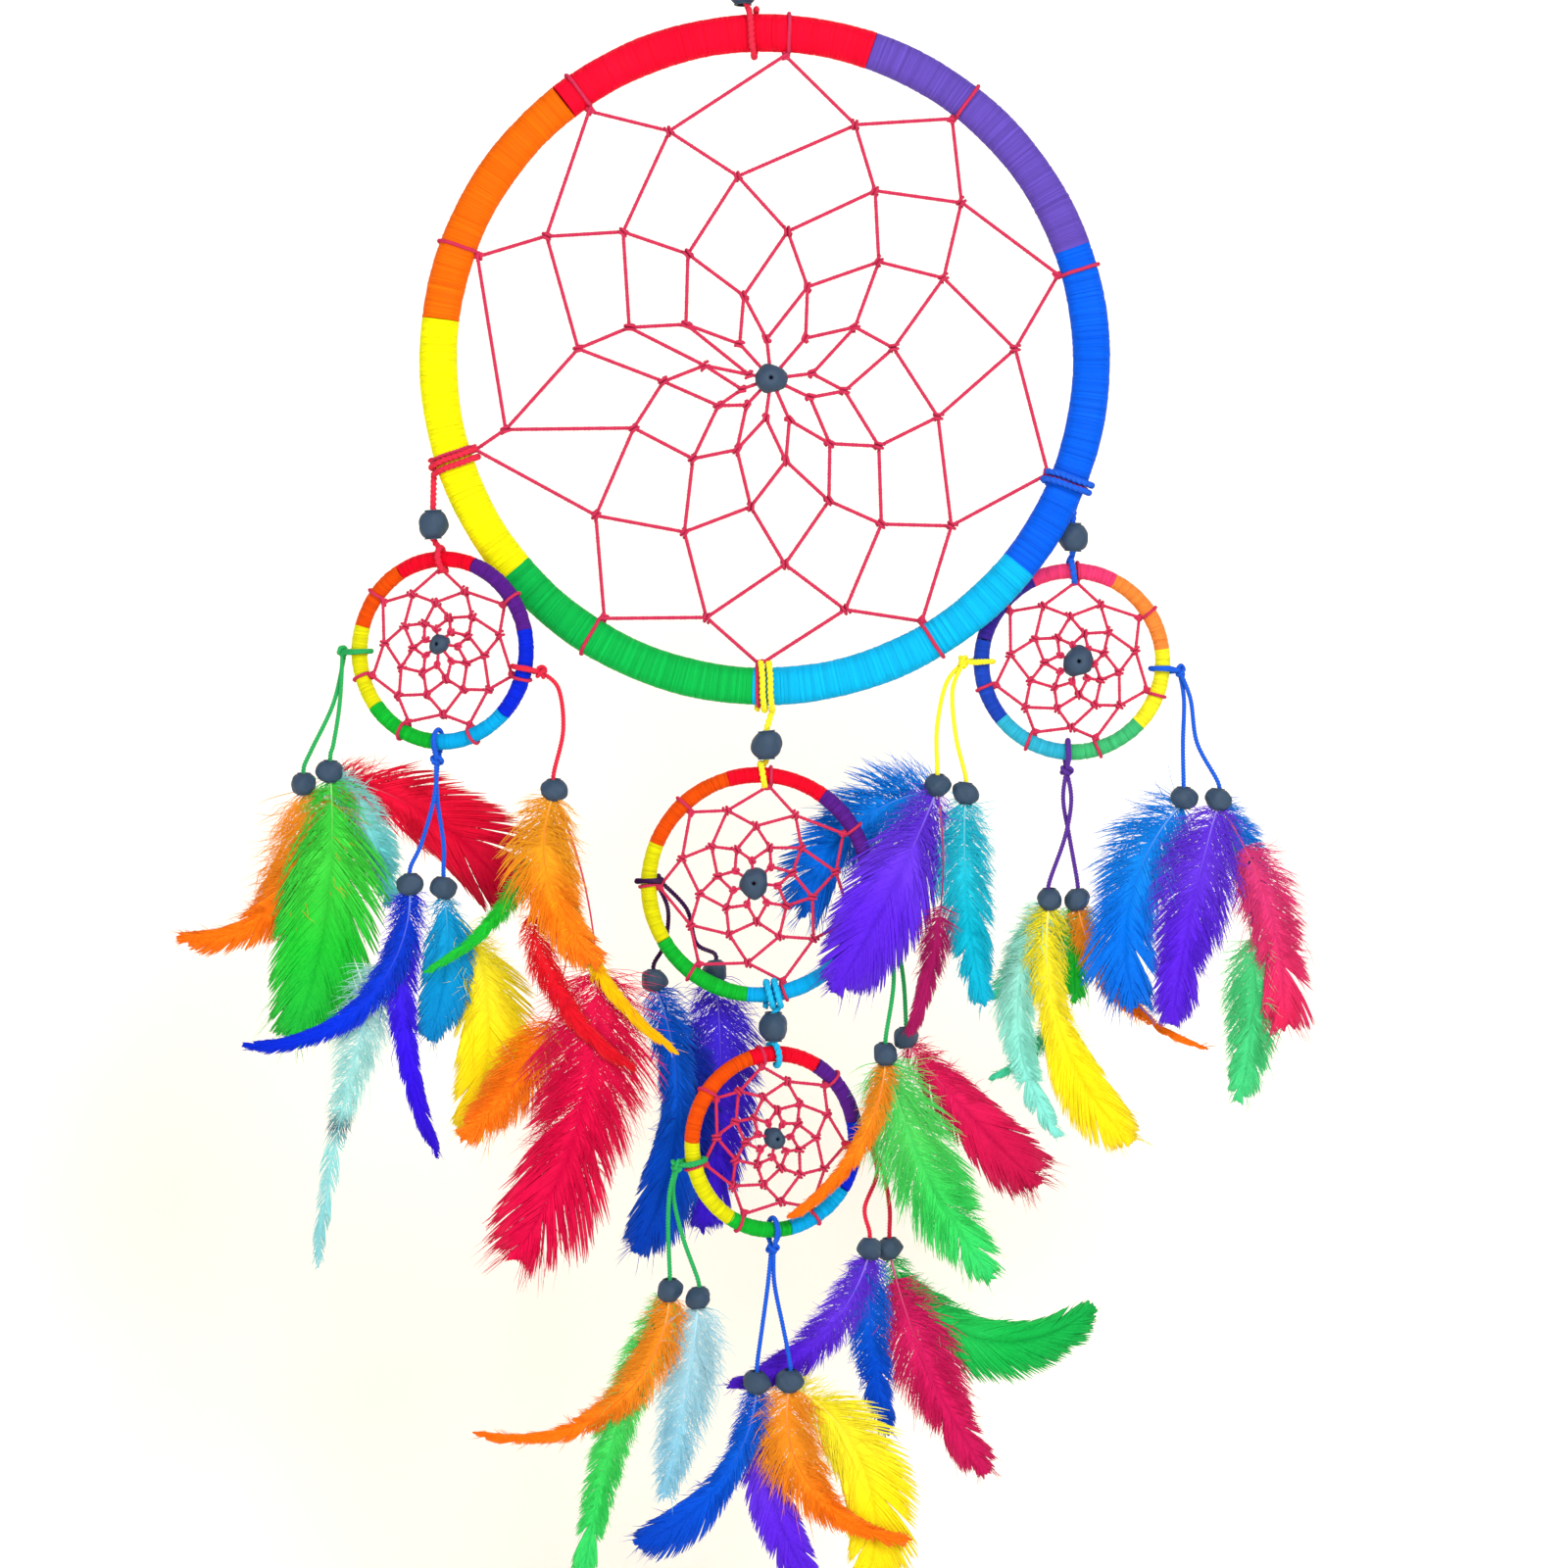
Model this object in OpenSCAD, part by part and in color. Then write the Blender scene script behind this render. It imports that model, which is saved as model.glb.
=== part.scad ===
// Five-hoop dream catcher: wrapped hoops with knotted webs, wooden beads and eleven feather tassels.
// Millimetres, +Z up, the front faces -Y. The origin is the top of the hanging loop.

/* [Main hoop] */
// Outer diameter of the main hoop
main_d = 220; // [212:2:224]
// Radial width of the main hoop's wrapped rim
main_rim_w = 12; // [10:0.5:12]
// Front-to-back depth of the main hoop's wrapped rim
main_rim_t = 7; // [5:0.5:7]
// Number of thread rows in the main web
main_rows = 6; // [3:1:7]

/* [Small hoops] */
// Outer diameter of the left and right hoops
side_d = 63; // [58:1:64]
// Outer diameter of the middle hoop
middle_d = 75; // [68:1:76]
// Outer diameter of the lower hoop
lower_d = 61; // [56:1:62]
// Thickness of a small hoop's wrapped rim
small_rim_d = 5; // [4:0.5:5]
// Number of thread rows in each small web
small_rows = 4; // [2:1:5]

/* [Threads and cords] */
// Thickness of the web thread
thread_d = 1; // [0.6:0.1:1.2]
// Thickness of the tassel cords
cord_d = 1.4; // [1:0.1:1.5]
// Thickness of the cords that carry the hoops
sling_d = 2.2; // [1.6:0.1:2.2]

/* [Beads] */
// Diameter of a tassel bead
bead_d = 8.4; // [7:0.1:8.4]
// Height of a tassel bead
bead_h = 6.8; // [5:0.1:7]
// Diameter of the beads between the hoops
sling_bead_d = 9.4; // [8:0.1:9.4]
// Height of the beads between the hoops
sling_bead_h = 9; // [7:0.1:9]

/* [Feathers] */
// Thickness of a feather at its shaft
feather_t = 0.8; // [0.4:0.1:0.8]
// Width of every feather, as a share of its usual width
feather_fullness = 1; // [0.6:0.05:1]

/* [Hidden] */
small_core_d = 2.6;
main_core_w = 7;
main_core_t = 3;
wrap_gap = 0.2;
tie_gap = 0.45;
strand_pitch = 0.9;
knot_reach = 5.5;
bead_bore_d = 3.8;
sling_bore_d = 5;
seam = 0.05;

red = [0.86, 0.02, 0.12];
purple = [0.4, 0.25, 0.72];
blue = [0.02, 0.32, 0.95];
cyan = [0.02, 0.72, 0.98];
green = [0.05, 0.73, 0.3];
yellow = [0.98, 0.95, 0.05];
orange = [1, 0.42, 0.02];
crimson = [0.8, 0.1, 0.24];
wood = [0.1, 0.22, 0.34];
metal = [0.7, 0.7, 0.72];

main_c = [0, 0, -176];
main_r = main_d / 2 - main_rim_w / 2;

// Clockwise angles from the top, seen from the front, where one colour gives way to the next
main_seams = [-38, 19, 70, 129, 182, 230, 277];
main_colours = [red, purple, blue, cyan, green, yellow, orange];
main_anchors = [4, 38, 74, 106.5, 149, 186, 212, 257.5, 290, 325];

// A hoop: centre, outer diameter, turn about the vertical, web anchors, web centre, web bead size
left = [[-102.4, -4, -268.7], side_d, -20, [-1, 56, 113, 158, 208, 253, 308], [-1, 0, 2], [6.6, 6.2]];
right = [[98.3, 7.5, -271.9], side_d, 0, [3, 57, 111, 163, 208, 253, 309], [2, 0, 0], [9.8, 9]];
middle = [[-2, 0, -343.2], middle_d, 0, [6, 59, 111, 157, 217, 263.5, 317], [-1.5, 0, 0.5], [9.6, 8]];
lower = [[3, 0, -425], lower_d, 22, [-10, 45, 103.5, 150, 205, 248, 305], [0, 0, 1], [7, 7.8]];

left_seams = [-30, 22, 78, 133, 184, 233, 286];
right_seams = [-26, 27, 82, 133, 181, 231, 284];
middle_seams = [-16, 36, 85, 135, 186, 240, 292];
lower_seams = [-17, 31, 78, 124, 169, 213, 272];
left_colours = [red, purple, blue, cyan, green, yellow, orange];
right_colours = [red, orange, yellow, green, cyan, blue, purple];
middle_colours = [red, purple, blue, cyan, green, yellow, orange];

// Where each sling ties on, as a clockwise angle on the hoop above
top_tie_at = -2;
left_tie_at = 252;
right_tie_at = 112;
middle_tie_at = 180;
lower_tie_at = 173;

// A tassel: hoop, clockwise tie angle, 1 for a knot outside the hoop or -1 inside, the knot's turn
// towards the back of the rim, each strand's route down to its bead, then each feather
// A feather: bead, length, lean at its base, lean at its tip, width, base depth, depth of its vane
tassel_1 = [left, 270, 1, 0,
  [[[-138, 7.5, -285], [-145, 7, -300], [-147.5, 7, -311]], [[-136, 6.8, -285], [-138, 7, -298], [-139, 7, -307]]],
  [[0, 73, 20, -100, 12, 0, 6], [1, 81, 5, -21, 34, -0.9, 4.8], [1, 47, 46, 2, 11, 0, 7.4], [1, 71, 78, 34, 28, 0.9, 8.6]]];
tassel_2 = [left, 183, 1, 0,
  [[[-105, -4.8, -316], [-109, -4.5, -330], [-112.5, -4, -343]], [[-104, -3.2, -316], [-102, -3.5, -330], [-102, -4, -344]]],
  [[0, 82, 2, -96, 9, -1.2, -6.4], [0, 87, -11, 23, 11, -0.2, -5.2], [1, 48, 10, -22, 16, -0.6, -4], [0, 125, -22, -6, 14, 0.9, -0.6], [1, 82, 36, -26, 22, 0.6, -2.6]]];
tassel_3 = [left, 102, 1, 0,
  [[[-65, -14, -281], [-63.5, -13.5, -294], [-66.5, -13, -313]]],
  [[0, 59, -20, 52, 22, -1.5, -20.2], [0, 95, -4, 56, 5, -0.9, -19], [0, 100, -27, 61, 11, -0.3, -17.8], [0, 154, 25, -35, 40, 0.3, -16.6], [0, 120, 20, -50, 16, 0.9, -15.4], [0, 72, -9, -63, 5, 1.5, -14.4]]];
tassel_4 = [middle, 272, -1, 60,
  [[[-31, 4.5, -351], [-32, 6, -362], [-35.5, 7.2, -374]], [[-25, 4, -351], [-22, 6, -362], [-16, 7.4, -371]]],
  [[0, 89, 23, -31, 19, -0.6, 6.2], [0, 77, 29, -19, 19, 0.6, 7.4], [1, 83, 7, -13, 27, 0.6, 8.8]]];
tassel_5 = [right, 270, 1, 0,
  [[[58, 6, -279], [55, 4, -293], [55, 2, -311.5]], [[60, 5, -281], [61, 3.5, -296], [64, 2, -314]]],
  [[0, 72, -23, -31, 30, -0.9, -8.6], [0, 63, -83, -9, 26, 0.9, 7.4], [1, 67, -5, 15, 16, -0.6, -7.2], [0, 80, 8, -22, 11, 0, -9.8]]];
tassel_6 = [middle, 91, 1, 0,
  [[[40, -1, -356], [41, -0.5, -374], [38.5, 0, -397]], [[41, 1.5, -356], [44, 3, -372], [45, 4, -392]]],
  [[0, 79, 13, 39, 30, 0.5, 1.4], [1, 62, 39, 47, 17, 0, 2.8], [0, 62, -4, -60, 9, -0.5, -5.5]]];
tassel_7 = [right, 183, 1, 0,
  [[[98, 6.6, -316], [96, 6.6, -328], [91, 7.5, -348]], [[95.5, 8.4, -316], [97.5, 8.4, -328], [100, 7.5, -348]]],
  [[0, 37, -7, -55, 14, 0.4, 7.6], [0, 80, -33, 39, 9, -0.4, 6.6], [0, 84, -9, 47, 17, -1.2, 5.5], [1, 32, -4, 2, 11, 0.5, 8.6], [0, 68, 31, -69, 6, 1.2, 9.6], [1, 66, 9, 75, 5, -0.5, 6]]];
tassel_8 = [right, 95, 1, 0,
  [[[134, 6, -284], [133.5, 4, -298], [133.5, 2, -315.5]], [[136, 5, -284], [138, 4, -298], [144.5, 2, -316]]],
  [[1, 72, -17, -7, 30, -1.2, -1.2], [0, 71, -45, 19, 23, 0, 0], [1, 42, 39, -7, 9, 1.2, 3.4], [1, 77, 35, -3, 17, -0.4, 1.2], [1, 97, 22, -14, 14, 0.4, 2.3]]];
tassel_9 = [lower, 259, 1, 0,
  [[[-30, -12, -440], [-30.5, -11, -452], [-30, -10.5, -471]], [[-29, -10.5, -440], [-26, -10.5, -454], [-21, -10.5, -473.5]]],
  [[0, 87, -3, -107, 7, -0.6, -11.8], [0, 104, -26, -6, 9, 0.6, -10.6], [1, 64, -5, -15, 19, 0.3, -9.2]]];
tassel_10 = [lower, 181, 1, 0,
  [[[1, -0.8, -470], [-1, -0.4, -485], [-2.5, 0, -501.5]], [[3, 0.8, -470], [6, 0.4, -485], [8, 0, -501]]],
  [[0, 67, -4, -72, 11, -0.5, -2.4], [0, 73, -2, 36, 14, 0.5, 1.2], [1, 71, -13, 89, 14, -0.5, -1.2], [1, 81, 61, -27, 19, 0.5, 2.4]]];
tassel_11 = [lower, 93, 1, 0,
  [[[36, 11.5, -436], [32, 10, -447], [33.5, 9, -460]], [[38, 13.2, -436], [40, 14, -447], [40, 14.5, -460.5]]],
  [[0, 66, -16, -78, 11, -0.5, 5.6], [0, 59, -4, 16, 11, 0.5, 6.8], [1, 81, 16, 136, 19, 0.5, 9.4], [1, 77, 13, 35, 23, -0.5, 8.1]]];

// ---- small sums ----

function unit(v) = v / norm(v);
function mix(a, b, t) = a + (b - a) * t;
function ease(t) = let (s = max(0, min(1, t))) s * s * (3 - 2 * s);

// A point on a circle round Y at a clockwise angle from the top
function clock(r, a) = [r * sin(a), 0, r * cos(a)];

// A point turned about the vertical
function spun(p, a) = [p[0] * cos(a) - p[1] * sin(a), p[0] * sin(a) + p[1] * cos(a), p[2]];

// The centre line of a hoop's rim, and the outward direction there
function hoop_r(h) = h[1] / 2 - small_rim_d / 2;
function rim_out(h, a) = spun(clock(1, a), h[2]);
function rim_at(h, a) = h[0] + hoop_r(h) * rim_out(h, a);
function rim_back(h) = spun([0, 1, 0], h[2]);
function main_out(a) = clock(1, a);
function main_at(a) = main_c + main_r * main_out(a);

// A smooth curve through points, with k steps from each to the next
function between(a, b, c, d, t) =
  0.5 * (2 * b + (c - a) * t + (2 * a - 5 * b + 4 * c - d) * t * t + (3 * b - a - 3 * c + d) * t * t * t);
function smoothed(p, k) = let (n = len(p) - 1) concat(
  [for (i = [0 : n - 1], j = [0 : k - 1])
    between(p[max(0, i - 1)], p[i], p[i + 1], p[min(n, i + 2)], j / k)],
  [p[n]]);

// ---- lofts, tubes and leaves ----

// A closed solid through rings of points, each ring with as many points as the next
module loft(rings) {
  n = len(rings[0]);
  m = len(rings);
  points = [for (ring = rings) for (p = ring) p];
  sides = [for (i = [0 : m - 2], j = [0 : n - 1])
    let (a = i * n + j, b = i * n + (j + 1) % n) each [[a, b, b + n], [a, b + n, a + n]]];
  first = [for (j = [n - 1 : -1 : 0]) j];
  last = [for (j = [0 : n - 1]) (m - 1) * n + j];
  polyhedron(points, concat([first], sides, [last]));
}

function way(p, i) = unit(p[min(len(p) - 1, i + 1)] - p[max(0, i - 1)]);
function square_to(v, along) = unit(v - (v * along) * along);
function sideways(along) = abs(along[1]) < 0.9 ? [0, 1, 0] : [1, 0, 0];

// A round tube along points: each ring's first spoke carries on from the ring before
module tube(p, r, sides) {
  n = len(p) - 1;
  start = square_to(sideways(way(p, 0)), way(p, 0));
  spokes = [for (i = 0, u = start; i <= n; i = i + 1, u = i <= n ? square_to(u, way(p, i)) : u) u];
  loft([for (i = [0 : n]) let (along = way(p, i), u = spokes[i], v = cross(u, along))
    [for (j = [0 : sides - 1]) p[i] + r * (cos(360 * j / sides) * u + sin(360 * j / sides) * v)]]);
}

// Half the width of a feather's vane at a share t of its length
function vane(t) = 0.06 + 0.94 * pow(sin(180 * pow(t, 0.8)), 0.75);

// The middle line of a feather, as [x, z] steps from its base
function lean(f, t) = f[2] + (f[3] - f[2]) * t;
function spine(f, t, steps) = let (k = max(1, round(steps * t)))
  t <= 0 ? [0, 0] : [for (axis = [0, 1])
    f[1] * t / k * (axis == 0 ? 1 : -1)
    * sum([for (i = [0 : k - 1]) let (a = lean(f, t * (i + 0.5) / k)) axis == 0 ? sin(a) : cos(a)])];
function sum(list, i = 0) = i == len(list) ? 0 : list[i] + sum(list, i + 1);

// A feather's quill stands in its bead's bore, and its vane opens clear of the bead
module feather(f, bead) {
  foot = [bead[0], bead[1] + f[5], bead[2] - bead_h * 0.2];
  clear = bead_h * 0.3 + 0.6;
  stations = concat([0, 0.07], [for (i = [1 : 9]) i / 9]);
  loft(concat([leaf_ring(foot, 0, 0.6, feather_t * 0.3)], [for (t = stations)
    let (at = spine([f[0], f[1] - clear, f[2], f[3]], t, 9),
      depth = mix(foot[1], f[6], ease(t / 0.3)),
      half = t < 0.1 ? 0.6 + 3 * t : max(0.8, f[4] / 2 * feather_fullness * vane(t)))
    leaf_ring([foot[0] + at[0], depth, foot[2] - clear + at[1]], t == 0 ? 0 : lean(f, t), half,
      feather_t * mix(0.4, 0.3, abs(2 * t - 1)))]));
}

// A leaf's four-sided section at a point: half its width across the lean, and half its thickness
function leaf_ring(at, a, half, thick) = let (across = half * [cos(a), 0, sin(a)])
  [at - across, at - [0, thick, 0], at + across, at + [0, thick, 0]];

// ---- hoops ----

// A slot shape: radial width w, depth t, centred r from the axis
module slot(r, w, t) {
  translate([r, 0]) {
    square([w - t, t], center = true);
    for (side = [-1, 1]) translate([side * (w - t) / 2, 0]) circle(d = t, $fn = 24);
  }
}

// Stands a ring made round Z up to face the front, and turns it about the vertical
module standing(centre, turn) {
  translate(centre) rotate([0, 0, turn]) rotate([90, 0, 0]) children();
}

module main_hoop_core() {
  color(metal) standing(main_c, 0)
    rotate_extrude($fn = 96) translate([main_r, 0]) square([main_core_w, main_core_t], center = true);
}

module small_core(h) {
  color(metal) standing(h[0], h[2])
    rotate_extrude($fn = 60) translate([hoop_r(h), 0]) square([small_core_d, small_core_d], center = true);
}

// The stretch of wrapped thread from one seam to the next
module wrap(r, from, to) {
  trim = wrap_gap / r * 90 / PI;
  rotate_extrude(angle = to - from - 2 * trim, start = 90 - to + trim, $fn = 96) children();
}

module main_hoop_wraps() {
  for (i = [0 : 6])
    color(main_colours[i]) standing(main_c, 0)
      wrap(main_r, main_seams[i], i < 6 ? main_seams[i + 1] : main_seams[0] + 360)
        difference() {
          slot(main_r, main_rim_w, main_rim_t);
          translate([main_r, 0]) square([main_core_w, main_core_t], center = true);
        }
}

module small_wraps(h, seams, colours) {
  for (i = [0 : 6])
    color(colours[i]) standing(h[0], h[2])
      wrap(hoop_r(h), seams[i], i < 6 ? seams[i + 1] : seams[0] + 360)
        difference() {
          translate([hoop_r(h), 0]) circle(d = small_rim_d, $fn = 24);
          translate([hoop_r(h), 0]) square([small_core_d, small_core_d], center = true);
        }
}

// ---- webs ----

// Each row's knots lie between two of the row before, drawn in towards the middle and a little back
function pull(row) = [0, 0.14, 0.19, 0.26, 0.33, 0.42, 0.5, 0.5][row];
function row_of(before, middle, row) = let (n = len(before))
  [for (i = [0 : n - 1])
    let (half = (before[i] + before[(i + 1) % n]) / 2, d = (half - middle) * (1 - pull(row)))
    middle + [d[0] * cos(4) - d[2] * sin(4), 0, d[0] * sin(4) + d[2] * cos(4)]];
function knots(first, middle, rows, row = 1) = row > rows ? [first] :
  concat([first], knots(row_of(first, middle, row), middle, rows, row + 1));

module strand(a, b) {
  hull() {
    translate(a) sphere(d = thread_d, $fn = 4);
    translate(b) sphere(d = thread_d, $fn = 4);
  }
}

// The thread's turn round the rim where the web is tied on
module rim_loop(at, out, half_w, half_t) {
  tube([for (a = [20 : 40 : 340])
    at + (sign(cos(a)) * (half_w - half_t) + (half_t + thread_d * 0.3) * cos(a)) * out
    + [0, (half_t + thread_d * 0.3) * sin(a), 0]], thread_d / 2, 4);
}

module web(rim_r, half_w, half_t, anchors, middle, rows) {
  inner = [for (a = anchors) clock(rim_r - half_w, a)];
  all_rows = knots(inner, middle, rows);
  for (a = anchors) rim_loop(clock(rim_r, a), clock(1, a), half_w, half_t);
  for (row = [0 : rows - 1], i = [0 : len(anchors) - 1]) {
    knot = all_rows[row + 1][i];
    strand(all_rows[row][i], knot);
    strand(knot, all_rows[row][(i + 1) % len(anchors)]);
  }
  for (knot = all_rows[rows]) strand(knot, middle);
}

module main_web() {
  color(crimson) translate(main_c)
    web(main_r, main_rim_w / 2, main_rim_t / 2, main_anchors, [2, 0, -6], main_rows);
}

module small_web(h) {
  color(crimson) translate(h[0]) rotate([0, 0, h[2]])
    web(hoop_r(h), small_rim_d / 2, small_rim_d / 2, h[3], h[4], small_rows);
}

// ---- beads ----

// A rounded bead on a vertical bore
module bead(at, d, h, bore) {
  steps = 6;
  translate(at) rotate_extrude($fn = 32) polygon(concat(
    [for (i = [0 : steps]) let (a = -66 + 132 * i / steps) [d / 2 * pow(cos(a), 0.7), h / 2 * sin(a) / sin(66)]],
    [[bore / 2, h / 2], [bore / 2, -h / 2]]));
}

// A web's middle bead, with its bore from front to back
module web_bead(at, size) {
  translate(at) rotate([90, 0, 0]) bead([0, 0, 0], size[0], size[1] * 0.9, thread_d);
}

module main_web_bead() {
  color(wood) web_bead(main_c + [2, 0, -6], [9.8, 9]);
}

module hoop_beads(h, sling_bead) {
  color(wood) web_bead(h[0] + spun(h[4], h[2]), h[5]);
  color(wood) bead(sling_bead, sling_bead_d, sling_bead_h, sling_bore_d);
}

module tassel_beads(t) {
  color(wood)
    for (strand = t[4]) bead(strand[len(strand) - 1], bead_d, bead_h, bead_bore_d);
}

// ---- cords ----

// A cord's turns round a rim, from one clock position in its section to another, stepping along the rim
function turns(at, out, back, half_w, half_t, reach, from, to, steps, pitch) = let (along = cross(out, back))
  [for (i = [0 : steps]) let (a = from + (to - from) * i / steps, r = half_t + reach)
    at + (sign(cos(a) + 0.001) * (half_w - half_t) + r * cos(a)) * out + r * sin(a) * back
    + pitch * ((a - (from + to) / 2) / 360) * along];

// A sling: two turns round the rim above, down through its bead and once round the hoop below
module sling(shade, at, out, half_w, half_t, leave, hang, h, below) {
  r = sling_d / 2;
  top = turns(at, out, [0, 1, 0], half_w, half_t, tie_gap + r, leave - 700, leave, 28, sling_d + 0.3);
  bottom = turns(rim_at(h, below), [0, 0, 1], rim_back(h), small_rim_d / 2, small_rim_d / 2, r + seam,
    60, -200, 9, sling_d + 0.6);
  color(shade) tube(concat(top, smoothed(concat([top[28]], hang, [bottom[0]]), 2), bottom), r, 8);
}

// A tassel's cord: both ends hang to a bead, and its middle is hitched round the rim
module tassel_cord(shade, t) {
  r = cord_d / 2;
  h = t[0];
  at = rim_at(h, t[1]);
  out = t[2] * rim_out(h, t[1]);
  back = rim_back(h);
  hitch = turns(at, out, back, small_rim_d / 2, small_rim_d / 2, tie_gap + r, t[3] + 52, t[3] + 308, 9, 0);
  knot = at + knot_reach * (cos(t[3]) * out + sin(t[3]) * back);
  apart = strand_pitch * (cos(t[3]) * back - sin(t[3]) * out);
  color(shade)
    tube(concat(reversed(strand_down(knot + apart, t[4][0])), hitch,
      len(t[4]) > 1 ? strand_down(knot - apart, t[4][1]) : [knot - apart, knot - apart + 2 * out]), r, 8);
}

// From the knot down into the upper part of a bead
function strand_down(knot, strand) = let (n = len(strand) - 1, last = strand[n])
  smoothed(concat([knot], [for (i = [0 : n - 1]) strand[i]], [last + [0, 0, bead_h / 2 + 2], last + [0, 0, 0.8]]), 2);
function reversed(list) = [for (i = [len(list) - 1 : -1 : 0]) list[i]];

module feathers(shade, t) {
  ends = [for (strand = t[4]) strand[len(strand) - 1]];
  color(shade) for (f = t[5]) feather(f, ends[f[0]]);
}

top_bead_at = [-7, 0, -58.5];

module hanging_loop() {
  color(red) tube(smoothed([[-8.2, 0, -57.5], [-8.2, 0, -50], [-9, 0, -36], [-6, 0, -12], [0, 0, -sling_d / 2],
    [4, 0, -12], [1, 0, -36], [-5.8, 0, -50], [-5.8, 0, -57.5]], 3), sling_d / 2, 8);
}

module top_bead() {
  color(wood) bead(top_bead_at, sling_bead_d, sling_bead_h, sling_bore_d);
}

module top_tie() {
  r = sling_d / 2;
  wound = turns(main_at(top_tie_at), main_out(top_tie_at), [0, 1, 0], main_rim_w / 2, main_rim_t / 2, tie_gap + r, -10, -370,
    13, sling_d + 0.3);
  color(red) tube(concat([[-7, 0, -59.5]], wound), r, 8);
}

left_sling_bead = [-105.3, -3.4, -228.7];
right_sling_bead = [98.4, 5.4, -232.2];
middle_sling_bead = [0.5, 0, -298.7];
lower_sling_bead = [2.7, 0, -388.4];

module main_sling(shade, at, leave, bead_at, h, below) {
  sling(shade, main_at(at), main_out(at), main_rim_w / 2, main_rim_t / 2, leave,
    [bead_at + [0, 0, sling_bead_h / 2], bead_at, bead_at - [0, 0, sling_bead_h / 2]], h, below);
}

module lower_sling() {
  sling(cyan, rim_at(middle, lower_tie_at), rim_out(middle, lower_tie_at), small_rim_d / 2, small_rim_d / 2, 360,
    [lower_sling_bead + [0, 0, 4], lower_sling_bead, lower_sling_bead - [0, 0, 4]], lower, 0);
}

// ---- the parts ----

hanging_loop();
top_bead();
top_tie();
main_hoop_core();
main_hoop_wraps();
main_web();
main_web_bead();
small_core(left);  // left_hoop_core
small_wraps(left, left_seams, left_colours);  // left_hoop_wraps
small_web(left);  // left_web
hoop_beads(left, left_sling_bead);  // left_beads
main_sling(red, left_tie_at, 360, left_sling_bead, left, 0);  // left_sling
small_core(right);  // right_hoop_core
small_wraps(right, right_seams, right_colours);  // right_hoop_wraps
small_web(right);  // right_web
hoop_beads(right, right_sling_bead);  // right_beads
main_sling(blue, right_tie_at, 450, right_sling_bead, right, 0);  // right_sling
small_core(middle);  // middle_hoop_core
small_wraps(middle, middle_seams, middle_colours);  // middle_hoop_wraps
small_web(middle);  // middle_web
hoop_beads(middle, middle_sling_bead);  // middle_beads
main_sling(yellow, middle_tie_at, 360, middle_sling_bead, middle, 2);  // middle_sling
small_core(lower);  // lower_hoop_core
small_wraps(lower, lower_seams, middle_colours);  // lower_hoop_wraps
small_web(lower);  // lower_web
hoop_beads(lower, lower_sling_bead);  // lower_beads
lower_sling();
tassel_cord(green, tassel_1);  // left_outer_cord
tassel_beads(tassel_1);  // left_outer_beads
feathers(orange, tassel_1);  // left_outer_feathers
tassel_cord(blue, tassel_2);  // left_lower_cord
tassel_beads(tassel_2);  // left_lower_beads
feathers(blue, tassel_2);  // left_lower_feathers
tassel_cord(red, tassel_3);  // left_inner_cord
tassel_beads(tassel_3);  // left_inner_bead
feathers(red, tassel_3);  // left_inner_feathers
tassel_cord(purple, tassel_4);  // middle_left_cord
tassel_beads(tassel_4);  // middle_left_beads
feathers(blue, tassel_4);  // middle_left_feathers
tassel_cord(yellow, tassel_5);  // right_inner_cord
tassel_beads(tassel_5);  // right_inner_beads
feathers(cyan, tassel_5);  // right_inner_feathers
tassel_cord(green, tassel_6);  // middle_right_cord
tassel_beads(tassel_6);  // middle_right_beads
feathers(green, tassel_6);  // middle_right_feathers
tassel_cord(purple, tassel_7);  // right_lower_cord
tassel_beads(tassel_7);  // right_lower_beads
feathers(yellow, tassel_7);  // right_lower_feathers
tassel_cord(blue, tassel_8);  // right_outer_cord
tassel_beads(tassel_8);  // right_outer_beads
feathers(purple, tassel_8);  // right_outer_feathers
tassel_cord(green, tassel_9);  // bottom_left_cord
tassel_beads(tassel_9);  // bottom_left_beads
feathers(orange, tassel_9);  // bottom_left_feathers
tassel_cord(blue, tassel_10);  // bottom_cord
tassel_beads(tassel_10);  // bottom_beads
feathers(yellow, tassel_10);  // bottom_feathers
tassel_cord(red, tassel_11);  // bottom_right_cord
tassel_beads(tassel_11);  // bottom_right_beads
feathers(green, tassel_11);  // bottom_right_feathers
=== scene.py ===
"""Five-hoop dream catcher: wound hoops, knotted webs, wooden beads, laid cords and dyed feathers.

Shapes are worked out in millimetres, as in the part's source, and put into the meshes in metres.
"""

import math

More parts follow.
